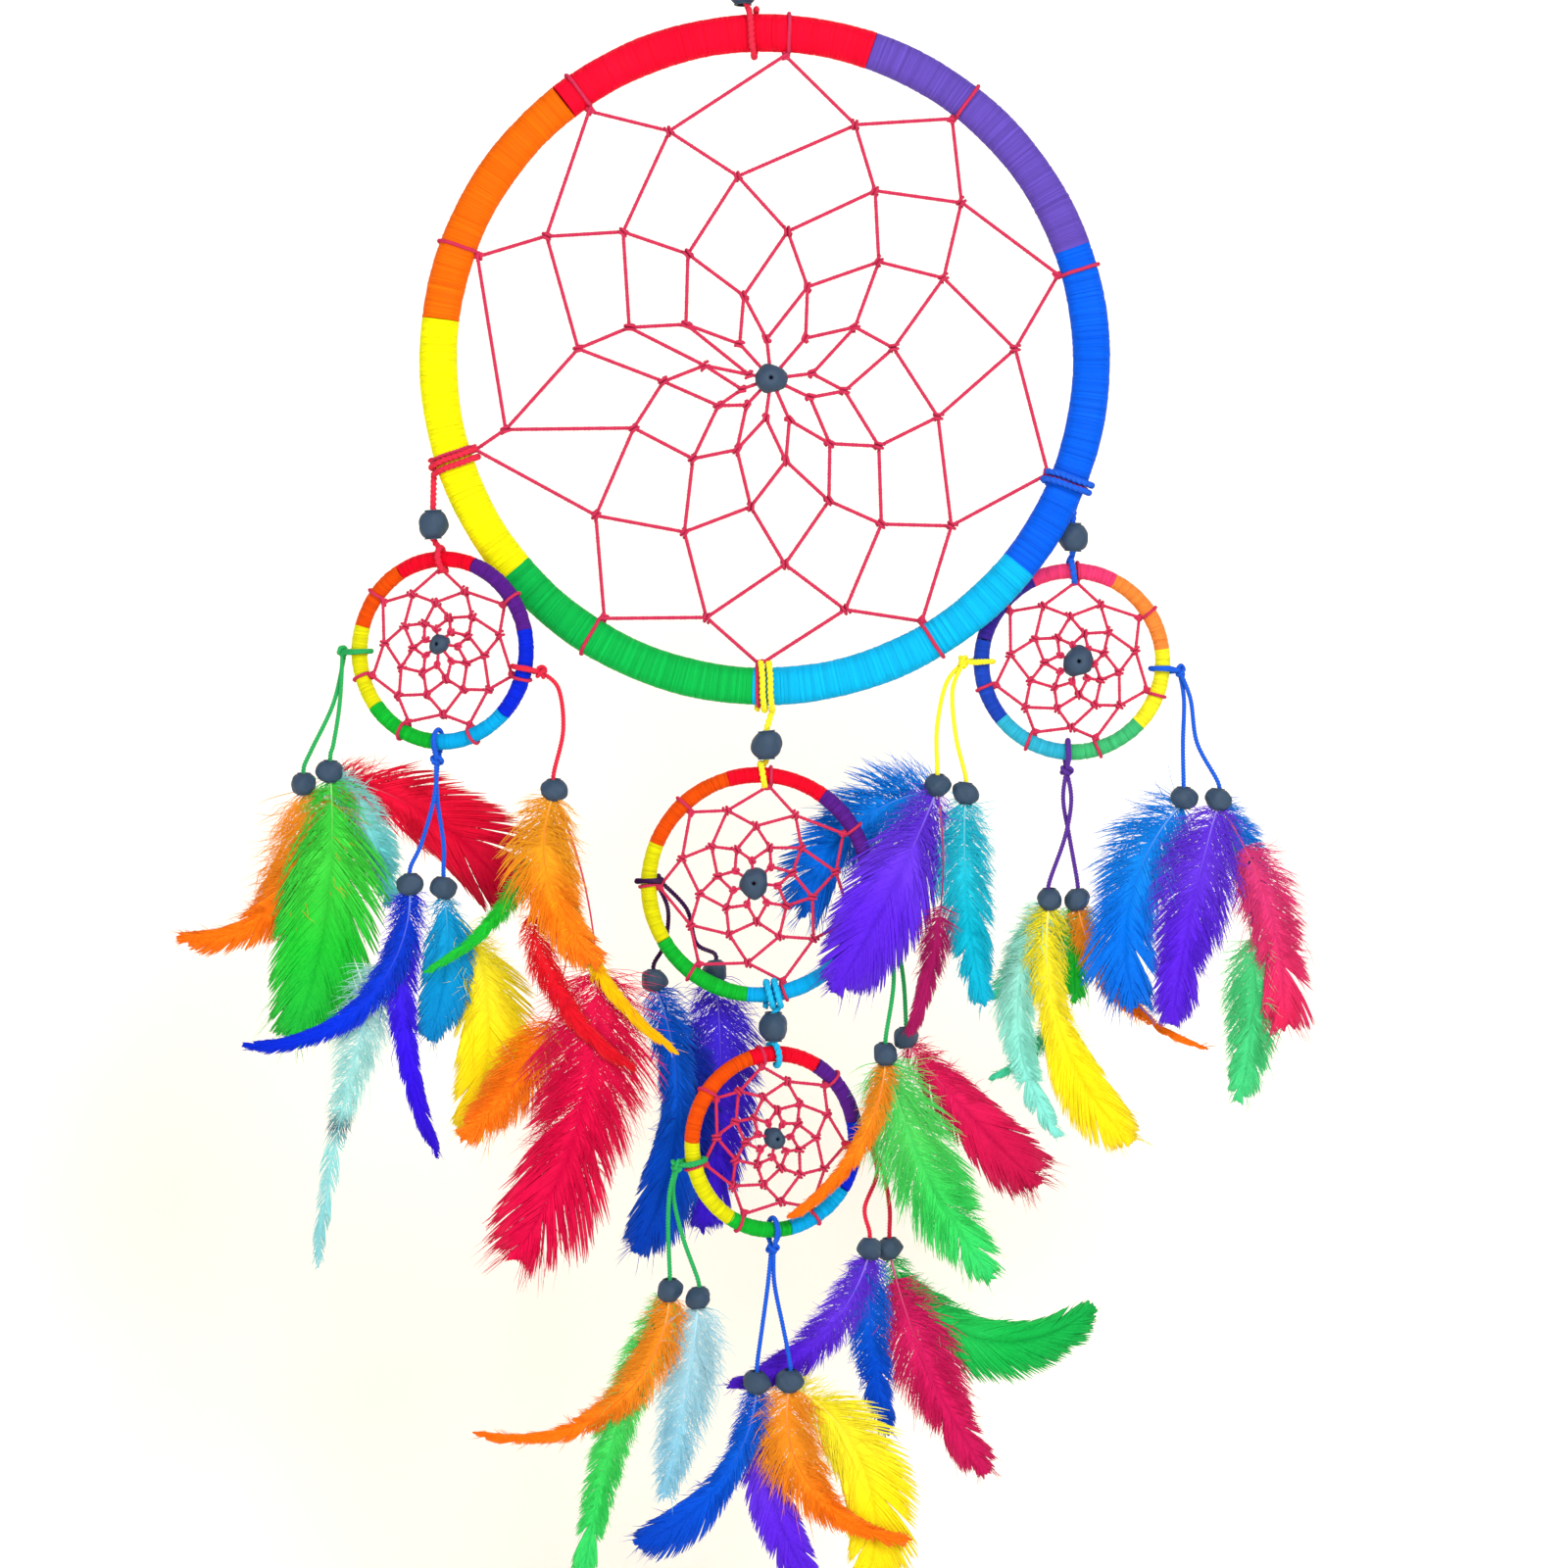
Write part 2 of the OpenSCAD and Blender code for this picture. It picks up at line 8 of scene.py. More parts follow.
import bpy
import numpy as np
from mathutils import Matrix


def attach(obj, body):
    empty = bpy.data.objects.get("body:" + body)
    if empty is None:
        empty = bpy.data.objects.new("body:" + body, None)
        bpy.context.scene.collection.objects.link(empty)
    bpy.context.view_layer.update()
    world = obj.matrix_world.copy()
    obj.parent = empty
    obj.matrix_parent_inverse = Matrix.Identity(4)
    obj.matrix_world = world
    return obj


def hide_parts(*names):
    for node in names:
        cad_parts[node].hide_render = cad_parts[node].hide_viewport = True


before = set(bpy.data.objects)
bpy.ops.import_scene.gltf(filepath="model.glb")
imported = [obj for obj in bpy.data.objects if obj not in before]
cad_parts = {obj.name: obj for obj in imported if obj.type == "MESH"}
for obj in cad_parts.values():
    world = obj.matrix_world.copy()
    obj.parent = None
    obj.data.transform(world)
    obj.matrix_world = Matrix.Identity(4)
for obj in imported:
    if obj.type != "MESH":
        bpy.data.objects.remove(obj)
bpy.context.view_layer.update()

bl_info = {
    "name": "Dream catcher",
    "version": (1, 0, 0),
    "blender": (4, 5, 0),
    "location": "3D View > Sidebar > Dream catcher",
    "description": "Builds the soft and wound pieces of a five-hoop dream catcher over its frame",
    "category": "Object",
}

MM = 0.001
Y = np.array([0.0, 1.0, 0.0])
UP = np.array([0.0, 0.0, 1.0])


def dye(r, g, b):
    """A colour given as screen values from 0 to 255, as the linear numbers that a shader takes."""
    parts = np.array([r, g, b]) / 255
    return tuple(float(c) for c in np.where(parts <= 0.04045, parts / 12.92, ((parts + 0.055) / 1.055) ** 2.4))


# ---- the object's own measures, in millimetres ----

MAIN_C = np.array([0.0, 0.0, -176.0])
MAIN_R, MAIN_HALF_W, MAIN_HALF_T = 104.0, 6.0, 3.5
MAIN_SEAMS = [-38, 19, 70, 129, 182, 230, 277]
MAIN_COLOURS = ["red", "purple", "blue", "cyan", "green", "yellow", "orange"]
MAIN_ANCHORS = [4, 38, 74, 112, 149, 181, 212, 253, 290, 325]
MAIN_EYE = np.array([2.0, 0.0, -6.0])
MAIN_BEAD = (9.8, 9.0)
RIM_R = 2.5

HOOPS = {
    "left": dict(
        centre=(-102.4, -4, -268.7), d=63, turn=-20, anchors=[-1, 56, 108, 158, 208, 253, 308],
        eye=(-1, 0, 2), bead=(6.6, 6.2), seams=[-30, 22, 78, 133, 184, 233, 286],
        colours=["red", "purple", "blue", "cyan", "green", "yellow", "orange"], family="deep",
        sling_bead=(-105.3, -3.4, -228.7),
    ),
    "right": dict(
        centre=(98.3, 7.5, -271.9), d=63, turn=0, anchors=[3, 57, 111, 163, 208, 253, 309],
        eye=(2, 0, 0), bead=(9.8, 9), seams=[-26, 27, 82, 133, 181, 231, 284],
        colours=["red", "orange", "yellow", "green", "cyan", "blue", "purple"], family="pale",
        sling_bead=(98.4, 5.4, -232.2),
    ),
    "middle": dict(
        centre=(-2, 0, -343.2), d=75, turn=0, anchors=[6, 59, 111, 166, 217, 269, 317],
        eye=(-1.5, 0, 0.5), bead=(9.6, 8), seams=[-16, 36, 85, 135, 186, 240, 292],
        colours=["red", "purple", "blue", "cyan", "green", "yellow", "orange"], family="deep",
        sling_bead=(0.5, 0, -298.7),
    ),
    "lower": dict(
        centre=(3, 0, -425), d=61, turn=22, anchors=[-10, 45, 95, 150, 205, 255, 305],
        eye=(0, 0, 1), bead=(7, 7.8), seams=[-17, 31, 78, 124, 169, 213, 272],
        colours=["red", "purple", "blue", "cyan", "green", "yellow", "orange"], family="deep",
        sling_bead=(2.7, 0, -388.4),
    ),
}
TOP_TIE_AT, LEFT_TIE_AT, RIGHT_TIE_AT, MIDDLE_TIE_AT, LOWER_TIE_AT = -2, 252, 112, 180, 173
TOP_BEAD = np.array([-7.0, 0.0, -58.5])
LOOP_ROUTE = [
    (-8.2, 0, -57.5), (-8.2, 0, -50), (-9, 0, -36), (-6, 0, -12), (0, 0, -1.1),
    (4, 0, -12), (1, 0, -36), (-5.8, 0, -50), (-5.8, 0, -57.5),
]

# The main web's knots, row by row from the rim inwards: [x, z] from the middle of the main hoop
MAIN_KNOTS = np.array([
    [(28.8, 74.7), (62.6, 50.0), (79.7, 3.4), (59.4, -52.9), (25.6, -79.6),
     (-18.6, -82.1), (-53.8, -49.6), (-82.5, -22.2), (-69.5, 39.3), (-30.4, 72.7)],
    [(35.1, 53.7), (56.9, 25.9), (55.1, -18.3), (37.1, -52.4), (6.4, -65.2),
     (-25.6, -54.9), (-41.7, -21.8), (-59.4, 3.4), (-45.1, 40.6), (-8.6, 58.3)],
    [(36.3, 31.2), (41.0, 3.7), (36.3, -27.5), (20.4, -44.9), (-4.5, -46.8),
     (-22.9, -31.5), (-32.3, -6.9), (-43.2, 10.3), (-24.5, 33.7), (7.3, 40.9)],
    [(28.7, 10.3), (25.4, -10.0), (20.7, -26.8), (6.7, -32.3), (-8.9, -28.7),
     (-14.8, -14.7), (-19.2, -1.9), (-25.1, 11.2), (-6.7, 20.3), (13.6, 23.1)],
    [(15.1, -4.4), (14.4, -12.0), (7.8, -19.2), (0.3, -18.6), (-5.8, -14.4),
     (-7.3, -9.4), (-5.1, -4.7), (-8.0, 5.0), (0.6, 6.6), (13.0, 6.9)],
])

# A tassel: its hoop, the clockwise angle of its tie, the side of the rim that its knot is on, its cord's colour, each
# strand's route down to its bead, and its feathers. A feather: its strand, length, lean at base and at tip in degrees,
# width, depth of its base behind the bead's middle, depth of its vane, dye, make, and bare share of the shaft
TASSELS = {
    "left_outer": ("left", 270, 1, "green", [
        [(-138, 7.5, -285), (-145, 7, -300), (-147.5, 7, -311)],
        [(-136, 6.8, -285), (-138, 7, -298), (-139, 7, -307)]], [
        (0, 75, 20, -100, 36, 0, 6, "orange", "tailed", 0),
        (1, 87, 5, -21, 34, -0.9, 4.6, "green", "broad", 0),
        (1, 47, 46, 2, 14, 0, 7.4, "light_turquoise", "plume", 0),
        (1, 71, 78, 34, 28, 0.9, 8.6, "ruby", "fan", 0)]),
    "left_lower": ("left", 183, 1, "blue", [
        [(-105, -4.8, -316), (-109, -4.5, -330), (-112.5, -4, -343)],
        [(-104, -3.2, -316), (-102, -3.5, -330), (-102, -4, -344)]], [
        (0, 82, 2, -96, 12, -1.2, -6.4, "blue", "hackle", 0),
        (0, 87, -11, 23, 13, -0.2, -5.2, "indigo", "hackle", 0),
        (1, 48, 10, -22, 17, -0.6, -4, "sea", "broad", 0),
        (0, 125, -22, -6, 22, 0.9, -0.6, "pale_cyan", "sparse", 0.2),
        (1, 82, 36, -26, 25, 0.6, -2.6, "yellow", "broad", 0.15)]),
    "left_inner": ("left", 102, 1, "red", [
        [(-65, -14, -281), (-63.5, -13.5, -294), (-66.5, -13, -313)]], [
        (0, 59, -20, 52, 26, -1.5, -20.2, "amber", "tufted", 0),
        (0, 95, -4, 56, 8, -0.9, -19, "gold", "hackle", 0.2),
        (0, 100, -27, 61, 11, -0.3, -17.8, "scarlet", "hackle", 0.38),
        (0, 154, 25, -35, 40, 0.3, -16.6, "rose_red", "ragged", 0.36),
        (0, 120, 20, -50, 20, 0.9, -15.4, "amber", "plume", 0.6),
        (0, 72, -9, -63, 7, 1.5, -14.4, "green", "hackle", 0.3)]),
    "middle_left": ("middle", 272, -1, "plum_dark", [
        [(-31, 4.5, -351), (-32, 6, -362), (-35.5, 7.2, -374)],
        [(-25, 4, -351), (-22, 6, -362), (-16, 7.4, -371)]], [
        (0, 89, 23, -31, 19, -0.6, 6.2, "royal", "paddle", 0),
        (0, 77, 29, -19, 19, 0.6, 7.4, "navy", "plume", 0.15),
        (1, 83, 7, -13, 27, 0.6, 8.8, "violet_blue", "plume", 0)]),
    "right_inner": ("right", 270, 1, "yellow", [
        [(58, 6, -279), (55, 4, -293), (55, 2, -311.5)],
        [(60, 5, -281), (61, 3.5, -296), (64, 2, -314)]], [
        (0, 72, -23, -31, 30, -0.9, -8.6, "violet", "broad", 0),
        (0, 63, -83, -9, 28, 0.9, 7.4, "azure", "ragged", 0),
        (1, 67, -5, 15, 19, -0.6, -7.2, "turquoise", "plume", 0),
        (0, 80, 8, -22, 11, 0, -9.8, "plum", "hackle", 0.45)]),
    "middle_right": ("middle", 91, 1, "green", [
        [(40, -1, -356), (41, -0.5, -374), (38.5, 0, -397)],
        [(41, 1.5, -356), (44, 3, -372), (45, 4, -392)]], [
        (0, 79, 13, 39, 30, 0.5, 1.4, "bright_green", "plume", 0),
        (1, 62, 39, 47, 20, 0, 2.8, "crimson", "fan", 0),
        (0, 62, -4, -60, 9, -0.5, -5.5, "orange", "hackle", 0)]),
    "right_lower": ("right", 183, 1, "purple", [
        [(98, 6.6, -316), (96, 6.6, -328), (91, 7.5, -348)],
        [(95.5, 8.4, -316), (97.5, 8.4, -328), (100, 7.5, -348)]], [
        (0, 37, -7, -55, 18, 0.4, 7.6, "mint", "plume", 0),
        (0, 80, -33, 39, 13, -0.4, 6.6, "pale_mint", "plume", 0),
        (0, 84, -9, 47, 18, -1.2, 5.5, "yellow", "paddle", 0),
        (1, 32, -4, 2, 14, 0.5, 8.6, "green", "plume", 0),
        (0, 68, 31, -69, 6, 1.2, 9.6, "mint", "hackle", 0.6),
        (1, 66, 9, 75, 9, -0.5, 6, "orange", "tailed", 0)]),
    "right_outer": ("right", 95, 1, "blue", [
        [(134, 6, -284), (133.5, 4, -298), (133.5, 2, -315.5)],
        [(136, 5, -284), (138, 4, -298), (144.5, 2, -316)]], [
        (1, 72, -17, -7, 30, -1.2, -1.2, "violet", "tufted", 0),
        (0, 71, -45, 19, 28, 0, 0, "azure", "ragged", 0),
        (1, 42, 39, -7, 13, 1.2, 3.4, "azure", "plume", 0),
        (1, 77, 35, -3, 20, -0.4, 1.2, "pink", "ragged", 0.2),
        (1, 97, 22, -14, 20, 0.4, 2.3, "mint_green", "plume", 0.45)]),
    "bottom_left": ("lower", 259, 1, "green", [
        [(-30, -12, -440), (-30.5, -11, -452), (-30, -10.5, -471)],
        [(-29, -10.5, -440), (-26, -10.5, -454), (-21, -10.5, -473.5)]], [
        (0, 87, -3, -107, 14, -0.6, -11.8, "orange", "tailed", 0),
        (0, 104, -26, -6, 13, 0.6, -10.6, "bright_green", "plume", 0),
        (1, 64, -5, -15, 22, 0.3, -9.2, "ice_blue", "wispy", 0)]),
    "bottom": ("lower", 181, 1, "blue", [
        [(1, -0.8, -470), (-1, -0.4, -485), (-2.5, 0, -501.5)],
        [(3, 0.8, -470), (6, 0.4, -485), (8, 0, -501)]], [
        (0, 67, -4, -72, 14, -0.5, -2.4, "royal", "paddle", 0),
        (0, 73, -2, 36, 15, 0.5, 1.2, "violet", "broad", 0),
        (1, 71, -13, 89, 24, -0.5, -1.2, "orange", "tailed", 0),
        (1, 81, 61, -27, 24, 0.5, 2.4, "yellow", "broad", 0)]),
    "bottom_right": ("lower", 93, 1, "red", [
        [(36, 11.5, -436), (32, 10, -447), (33.5, 9, -460)],
        [(38, 13.2, -436), (40, 14, -447), (40, 14.5, -460.5)]], [
        (0, 66, -16, -78, 14, -0.5, 5.6, "violet", "plume", 0),
        (0, 59, -4, 16, 14, 0.5, 6.8, "royal", "plume", 0),
        (1, 81, 16, 136, 20, 0.5, 9.4, "deep_green", "broad", 0),
        (1, 77, 13, 35, 26, -0.5, 8.1, "magenta", "tufted", 0.1)]),
}
BEAD_D, BEAD_H, BEAD_BORE = 8.4, 6.8, 3.8
SLING_BEAD_D, SLING_BEAD_H, SLING_BORE = 9.4, 9.0, 5.0
# A knot's distance from the rim's middle, a hitch's gap from the rim, and a sling's at the hoop that it carries
REACH, TIE_GAP, TIGHT = 5.5, 0.45, 0.05
# Half the distance between a tassel's two strands at their knot
HALF_APART = 0.9
# Degrees by which a tassel's knot is turned towards the back of the rim
KNOT_TURNED = {"middle_left": 60}
# How far a cord's plies run in going once round it
SLING_LAY, CORD_LAY, KNOT_LAY, THREAD_LAY, HITCH_LAY = 5.2, 3.0, 2.6, 2.4, 2.2
# The distance between stations along a cord
SLING_STEP, WEB_STEP, STRAND_STEP, HITCH_STEP = 0.45, 0.7, 0.3, 0.35
# The sections of the metal rings: width in the hoop's plane, and depth
MAIN_RING, SMALL_RING = (7, 3), (2.6, 2.6)

# Dyes run from the quill end to the tip: quill, down, vane, tip
DYES = {
    "orange": [(255, 190, 110), (255, 160, 40), (250, 110, 5), (240, 90, 0)],
    "amber": [(255, 190, 90), (255, 175, 40), (255, 125, 10), (250, 95, 15)],
    "green": [(150, 225, 120), (70, 215, 70), (15, 190, 45), (20, 175, 60)],
    "deep_green": [(140, 215, 130), (40, 195, 90), (10, 175, 70), (10, 150, 65)],
    "bright_green": [(170, 235, 160), (95, 230, 110), (50, 215, 95), (40, 200, 110)],
    "light_turquoise": [(180, 235, 230), (150, 230, 230), (110, 215, 220), (95, 200, 210)],
    "ruby": [(225, 110, 130), (240, 20, 60), (218, 6, 48), (185, 0, 52)],
    "scarlet": [(240, 120, 110), (240, 40, 40), (230, 15, 40), (200, 5, 30)],
    "rose_red": [(240, 110, 140), (240, 30, 85), (224, 4, 70), (205, 0, 62)],
    "crimson": [(225, 110, 150), (225, 30, 95), (205, 15, 75), (170, 10, 60)],
    "magenta": [(225, 110, 160), (225, 35, 110), (205, 20, 90), (175, 15, 75)],
    "plum": [(200, 110, 150), (190, 40, 115), (165, 20, 95), (140, 15, 75)],
    "pink": [(190, 130, 140), (232, 70, 140), (225, 50, 110), (215, 20, 60)],
    "blue": [(110, 140, 225), (20, 70, 230), (0, 45, 225), (0, 25, 190)],
    "indigo": [(130, 120, 225), (70, 40, 240), (50, 10, 235), (35, 5, 180)],
    "royal": [(110, 150, 215), (10, 100, 225), (0, 75, 210), (0, 50, 180)],
    "navy": [(90, 110, 180), (20, 60, 200), (10, 35, 170), (5, 20, 130)],
    "violet_blue": [(140, 130, 220), (75, 50, 235), (65, 25, 225), (50, 15, 190)],
    "violet": [(160, 140, 225), (110, 60, 235), (90, 30, 225), (75, 20, 200)],
    "sea": [(130, 200, 225), (20, 165, 225), (0, 140, 205), (0, 110, 185)],
    "azure": [(140, 190, 230), (20, 140, 240), (0, 115, 235), (0, 85, 205)],
    "turquoise": [(160, 225, 230), (40, 205, 230), (0, 185, 215), (0, 160, 200)],
    "pale_cyan": [(200, 240, 238), (185, 242, 238), (160, 232, 232), (120, 200, 215)],
    "ice_blue": [(205, 235, 245), (180, 228, 245), (150, 215, 240), (130, 200, 235)],
    "mint": [(180, 235, 205), (120, 225, 185), (65, 205, 160), (50, 195, 150)],
    "mint_green": [(170, 225, 180), (110, 225, 150), (70, 210, 130), (55, 195, 120)],
    "pale_mint": [(205, 245, 235), (170, 242, 225), (140, 232, 215), (120, 222, 210)],
    "yellow": [(250, 240, 150), (255, 240, 50), (252, 228, 5), (245, 205, 5)],
    "gold": [(250, 225, 120), (255, 215, 20), (250, 190, 0), (250, 170, 0)],
}

# How a feather is made: its width at eleven even stations from foot to tip as shares of its most, the share of its
# length in down, barb angle at base and tip, how far clumps of barbs part, how much single barbs stray, barbs in a
# millimetre and their width, hairs of down in a millimetre, and how far they stand past the vane in millimetres
MAKES = {
    "broad": dict(
        shape=(0.4, 0.6, 0.8, 0.92, 1, 1, 0.98, 0.92, 0.82, 0.66, 0.42),
        down=0.35, angles=(50, 24), split=0.5, stray=1.0, close=1.7, wide=0.95, hairs=10.0, past=1.8),
    "paddle": dict(
        shape=(0.55, 0.85, 0.8, 0.62, 0.55, 0.6, 0.78, 0.95, 1, 0.96, 0.75),
        down=0.5, angles=(48, 20), split=0.4, stray=1.0, close=1.7, wide=0.9, hairs=15.0, past=2.4),
    "fan": dict(
        shape=(0.35, 0.55, 0.65, 0.72, 0.8, 0.85, 0.9, 0.96, 1, 1, 0.9),
        down=0.4, angles=(44, 18), split=0.8, stray=1.5, close=1.8, wide=0.9, hairs=12.0, past=3.0),
    "plume": dict(
        shape=(0.6, 0.85, 1, 1, 0.96, 0.9, 0.82, 0.72, 0.6, 0.45, 0.3),
        down=0.65, angles=(56, 24), split=1.0, stray=3.0, close=2.0, wide=0.7, hairs=16.0, past=2.8),
    "hackle": dict(
        shape=(0.75, 0.95, 1, 0.9, 0.76, 0.64, 0.55, 0.48, 0.42, 0.36, 0.26),
        down=0.45, angles=(38, 14), split=0.6, stray=2.0, close=1.9, wide=0.65, hairs=12.0, past=2.6),
    "tailed": dict(
        shape=(0.6, 0.9, 1, 0.98, 0.85, 0.62, 0.42, 0.3, 0.24, 0.2, 0.14),
        down=0.55, angles=(52, 16), split=0.8, stray=2.5, close=2.0, wide=0.65, hairs=18.0, past=3.0),
    "tufted": dict(
        shape=(0.5, 0.8, 0.98, 1, 0.96, 0.86, 0.7, 0.54, 0.46, 0.46, 0.36),
        down=0.6, angles=(56, 20), split=0.7, stray=2.0, close=2.0, wide=0.75, hairs=17.0, past=2.8),
    "wispy": dict(
        shape=(0.6, 0.9, 1, 0.96, 0.9, 0.82, 0.72, 0.62, 0.5, 0.36, 0.2),
        down=0.85, angles=(50, 24), split=1.5, stray=6.0, close=1.3, wide=0.42, hairs=15.0, past=3.0),
    "sparse": dict(
        shape=(0.6, 0.9, 1, 0.8, 0.5, 0.34, 0.28, 0.26, 0.24, 0.18, 0.1),
        down=0.45, angles=(42, 18), split=1.6, stray=7.0, close=1.0, wide=0.34, hairs=13.0, past=3.0),
    "ragged": dict(
        shape=(0.6, 0.9, 1, 1, 0.94, 0.8, 0.7, 0.72, 0.8, 0.8, 0.6),
        down=0.55, angles=(60, 22), split=1.7, stray=3.0, close=1.9, wide=0.75, hairs=17.0, past=4.0),
}


# ---- small sums on arrays of points ----


def clock(r, a):
    """Points on a circle of radius r round Y, at clockwise angles a in degrees from the top."""
    a = np.radians(np.asarray(a, float))
    return np.stack([r * np.sin(a), 0 * a, r * np.cos(a)], -1)


def spun(p, turn):
    """Points turned about the vertical by turn degrees."""
    p, c, s = np.asarray(p, float), math.cos(math.radians(turn)), math.sin(math.radians(turn))
    return np.stack([p[..., 0] * c - p[..., 1] * s, p[..., 0] * s + p[..., 1] * c, p[..., 2]], -1)


def unit(v):
    """Vectors scaled to length 1."""
    return v / np.maximum(np.linalg.norm(v, axis=-1, keepdims=True), 1e-12)


def hoop_r(h):
    return h["d"] / 2 - RIM_R


def rim_out(h, a):
    return spun(clock(1, a), h["turn"])


def rim_at(h, a):
    return np.array(h["centre"], float) + hoop_r(h) * rim_out(h, a)


def main_at(a):
    return MAIN_C + clock(MAIN_R, a)


def smoothed(points, steps):
    """A smooth curve through points: on each stretch a cubic whose slope at a point is half the chord of its two
    neighbours, with steps samples to the stretch."""
    p = np.asarray(points, float)
    n = len(p) - 1
    i, t = np.repeat(np.arange(n), steps), np.tile(np.arange(steps) / steps, n)[:, None]
    a, b, c, d = p[np.maximum(i - 1, 0)], p[i], p[i + 1], p[np.minimum(i + 2, n)]
    curve = 0.5 * (2 * b + (c - a) * t + (2 * a - 5 * b + 4 * c - d) * t**2 + (3 * b - a - 3 * c + d) * t**3)
    return np.vstack([curve, p[n:]])


def lengths(path):
    """The distance along a path to each of its points."""
    return np.concatenate([[0], np.cumsum(np.linalg.norm(np.diff(path, axis=0), axis=1))])


def spaced(path, step):
    """The same path with points at even distances of about step."""
    along = lengths(path)
    at = np.linspace(0, along[-1], max(3, round(along[-1] / step) + 1))
    return np.stack([np.interp(at, along, path[:, k]) for k in range(3)], -1)


def carried(path, closed=False):
    """Along a path: its unit direction, and two spokes square to it. Each station's first spoke is the one before
    with its part along the new direction taken off."""
    step = (np.roll(path, -1, 0) - np.roll(path, 1, 0)) if closed else np.gradient(path, axis=0)
    way = unit(step)
    spoke = Y if abs(way[0][1]) < 0.9 else np.array([1.0, 0, 0])
    spokes = []
    for w in way:
        spoke = spoke - (spoke @ w) * w
        spoke = spoke / math.sqrt(spoke @ spoke)
        spokes.append(spoke)
    spokes = np.array(spokes)
    return way, spokes, np.cross(way, spokes)


def turns(at, out, back, half_w, half_t, reach, start, end, steps, pitch):
    """A cord's turns round a rim of half width half_w and half depth half_t, from one clock position in its section
    to another, stepping along the rim by pitch in each turn. out and back are the rim's own two directions."""
    along = np.cross(out, back)
    a = np.linspace(start, end, steps + 1)[:, None]
    c, s = np.cos(np.radians(a)), np.sin(np.radians(a))
    r = half_t + reach
    flat = np.sign(c + 0.001) * (half_w - half_t)
    return at + (flat + r * c) * out + r * s * back + pitch * ((a - (start + end) / 2) / 360) * along


# ---- putting surfaces into a mesh ----


class Heap:
    """Gathers grid surfaces for one piece: points in millimetres, faces, two-number lays and a shade for each point."""

    def __init__(self):
        self.points, self.shades = [], []
        self.corners, self.uvs, self.counts, self.finishes = [], [], [], []
        self.total = 0

    def add(self, surface, lay=None, shade=0.5, finish=0, ring=True, lap=False, ends=True):
        """surface is k strips of m stations of n points. ring closes each station round, lap joins the last station
        to the first, and ends closes the first and last stations with a face. lay is k strips of m stations of n
        pairs, or None for millimetres along and round. shade is one number to a strip."""
        surface = np.asarray(surface, float)
        if surface.ndim == 3:
            surface = surface[None]
        k, m, n, _ = surface.shape
        rows, cols = (m if lap else m - 1), (n if ring else n - 1)
        i, j = np.meshgrid(np.arange(rows), np.arange(cols), indexing="ij")
        i2, j2 = (i + 1) % m, (j + 1) % n
        quads = np.stack([i * n + j, i * n + j2, i2 * n + j2, i2 * n + j], -1).reshape(-1, 4)
        if lay is None:
            run = np.concatenate([[0], np.cumsum(np.linalg.norm(np.diff(surface[0, :, 0], axis=0), axis=-1))])
            girth = np.linalg.norm(surface[0, 0] - np.roll(surface[0, 0], 1, 0), axis=-1).sum() if ring else n
            u = np.append(run, run[-1] + run[1])[np.stack([i, i, i + 1, i + 1], -1)]
            v = np.stack([j, j + 1, j + 1, j], -1) * girth / n
            uv = np.broadcast_to(np.stack([u, v], -1).reshape(1, -1, 4, 2), (k, len(quads), 4, 2))
        else:
            flat = np.broadcast_to(np.asarray(lay, float), (k, m, n, 2)).reshape(k, m * n, 2)
            uv = flat[:, quads]
        offsets = (self.total + np.arange(k) * m * n)[:, None, None]
        self.corners.append((offsets + quads[None]).reshape(-1))
        self.uvs.append(uv.reshape(-1, 2))
        self.counts.append(np.full(k * len(quads), 4))
        faces = k * len(quads)
        if ends and ring and not lap:
            caps = np.stack([np.arange(n)[::-1], (m - 1) * n + np.arange(n)])
            self.corners.append((offsets + caps[None]).reshape(-1))
            near = uv.reshape(k, -1, 2)[:, :1], uv.reshape(k, -1, 2)[:, -1:]
            self.uvs.append(np.concatenate([np.repeat(near[0], n, 1), np.repeat(near[1], n, 1)], 1).reshape(-1, 2))
            self.counts.append(np.full(2 * k, n))
            faces += 2 * k
        self.finishes.append(np.full(faces, finish))
        self.points.append(surface.reshape(-1, 3))
        self.shades.append(np.repeat(np.broadcast_to(np.asarray(shade, float), (k,)), m * n))
        self.total += k * m * n

    def make(self, name, finishes, body, *nodes, smooth=True):
        """Makes the piece in metres, with its finishes, riding on a body and standing for CAD nodes."""
        mesh = bpy.data.meshes.new(name)
        corners, counts = np.concatenate(self.corners), np.concatenate(self.counts)
        mesh.vertices.add(self.total)
        mesh.vertices.foreach_set("co", (np.vstack(self.points) * MM).astype(np.float32).ravel())
        mesh.loops.add(len(corners))
        mesh.loops.foreach_set("vertex_index", corners.astype(np.int32))
        mesh.polygons.add(len(counts))
        mesh.polygons.foreach_set("loop_start", (np.cumsum(counts) - counts).astype(np.int32))
        mesh.polygons.foreach_set("material_index", np.concatenate(self.finishes).astype(np.int32))
        mesh.polygons.foreach_set("use_smooth", np.full(len(counts), smooth))
        for material in finishes:
            mesh.materials.append(material)
        mesh.update(calc_edges=True)
        mesh.uv_layers.new(name="lay").data.foreach_set("uv", np.concatenate(self.uvs).astype(np.float32).ravel())
        shade = mesh.attributes.new("shade", "FLOAT", "POINT")
        shade.data.foreach_set("value", np.concatenate(self.shades).astype(np.float32))
        mesh.validate()
        piece = bpy.data.objects.new(name, mesh)
        bpy.context.scene.collection.objects.link(piece)
        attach(piece, body)
        if nodes:
            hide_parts(*nodes)
        return piece


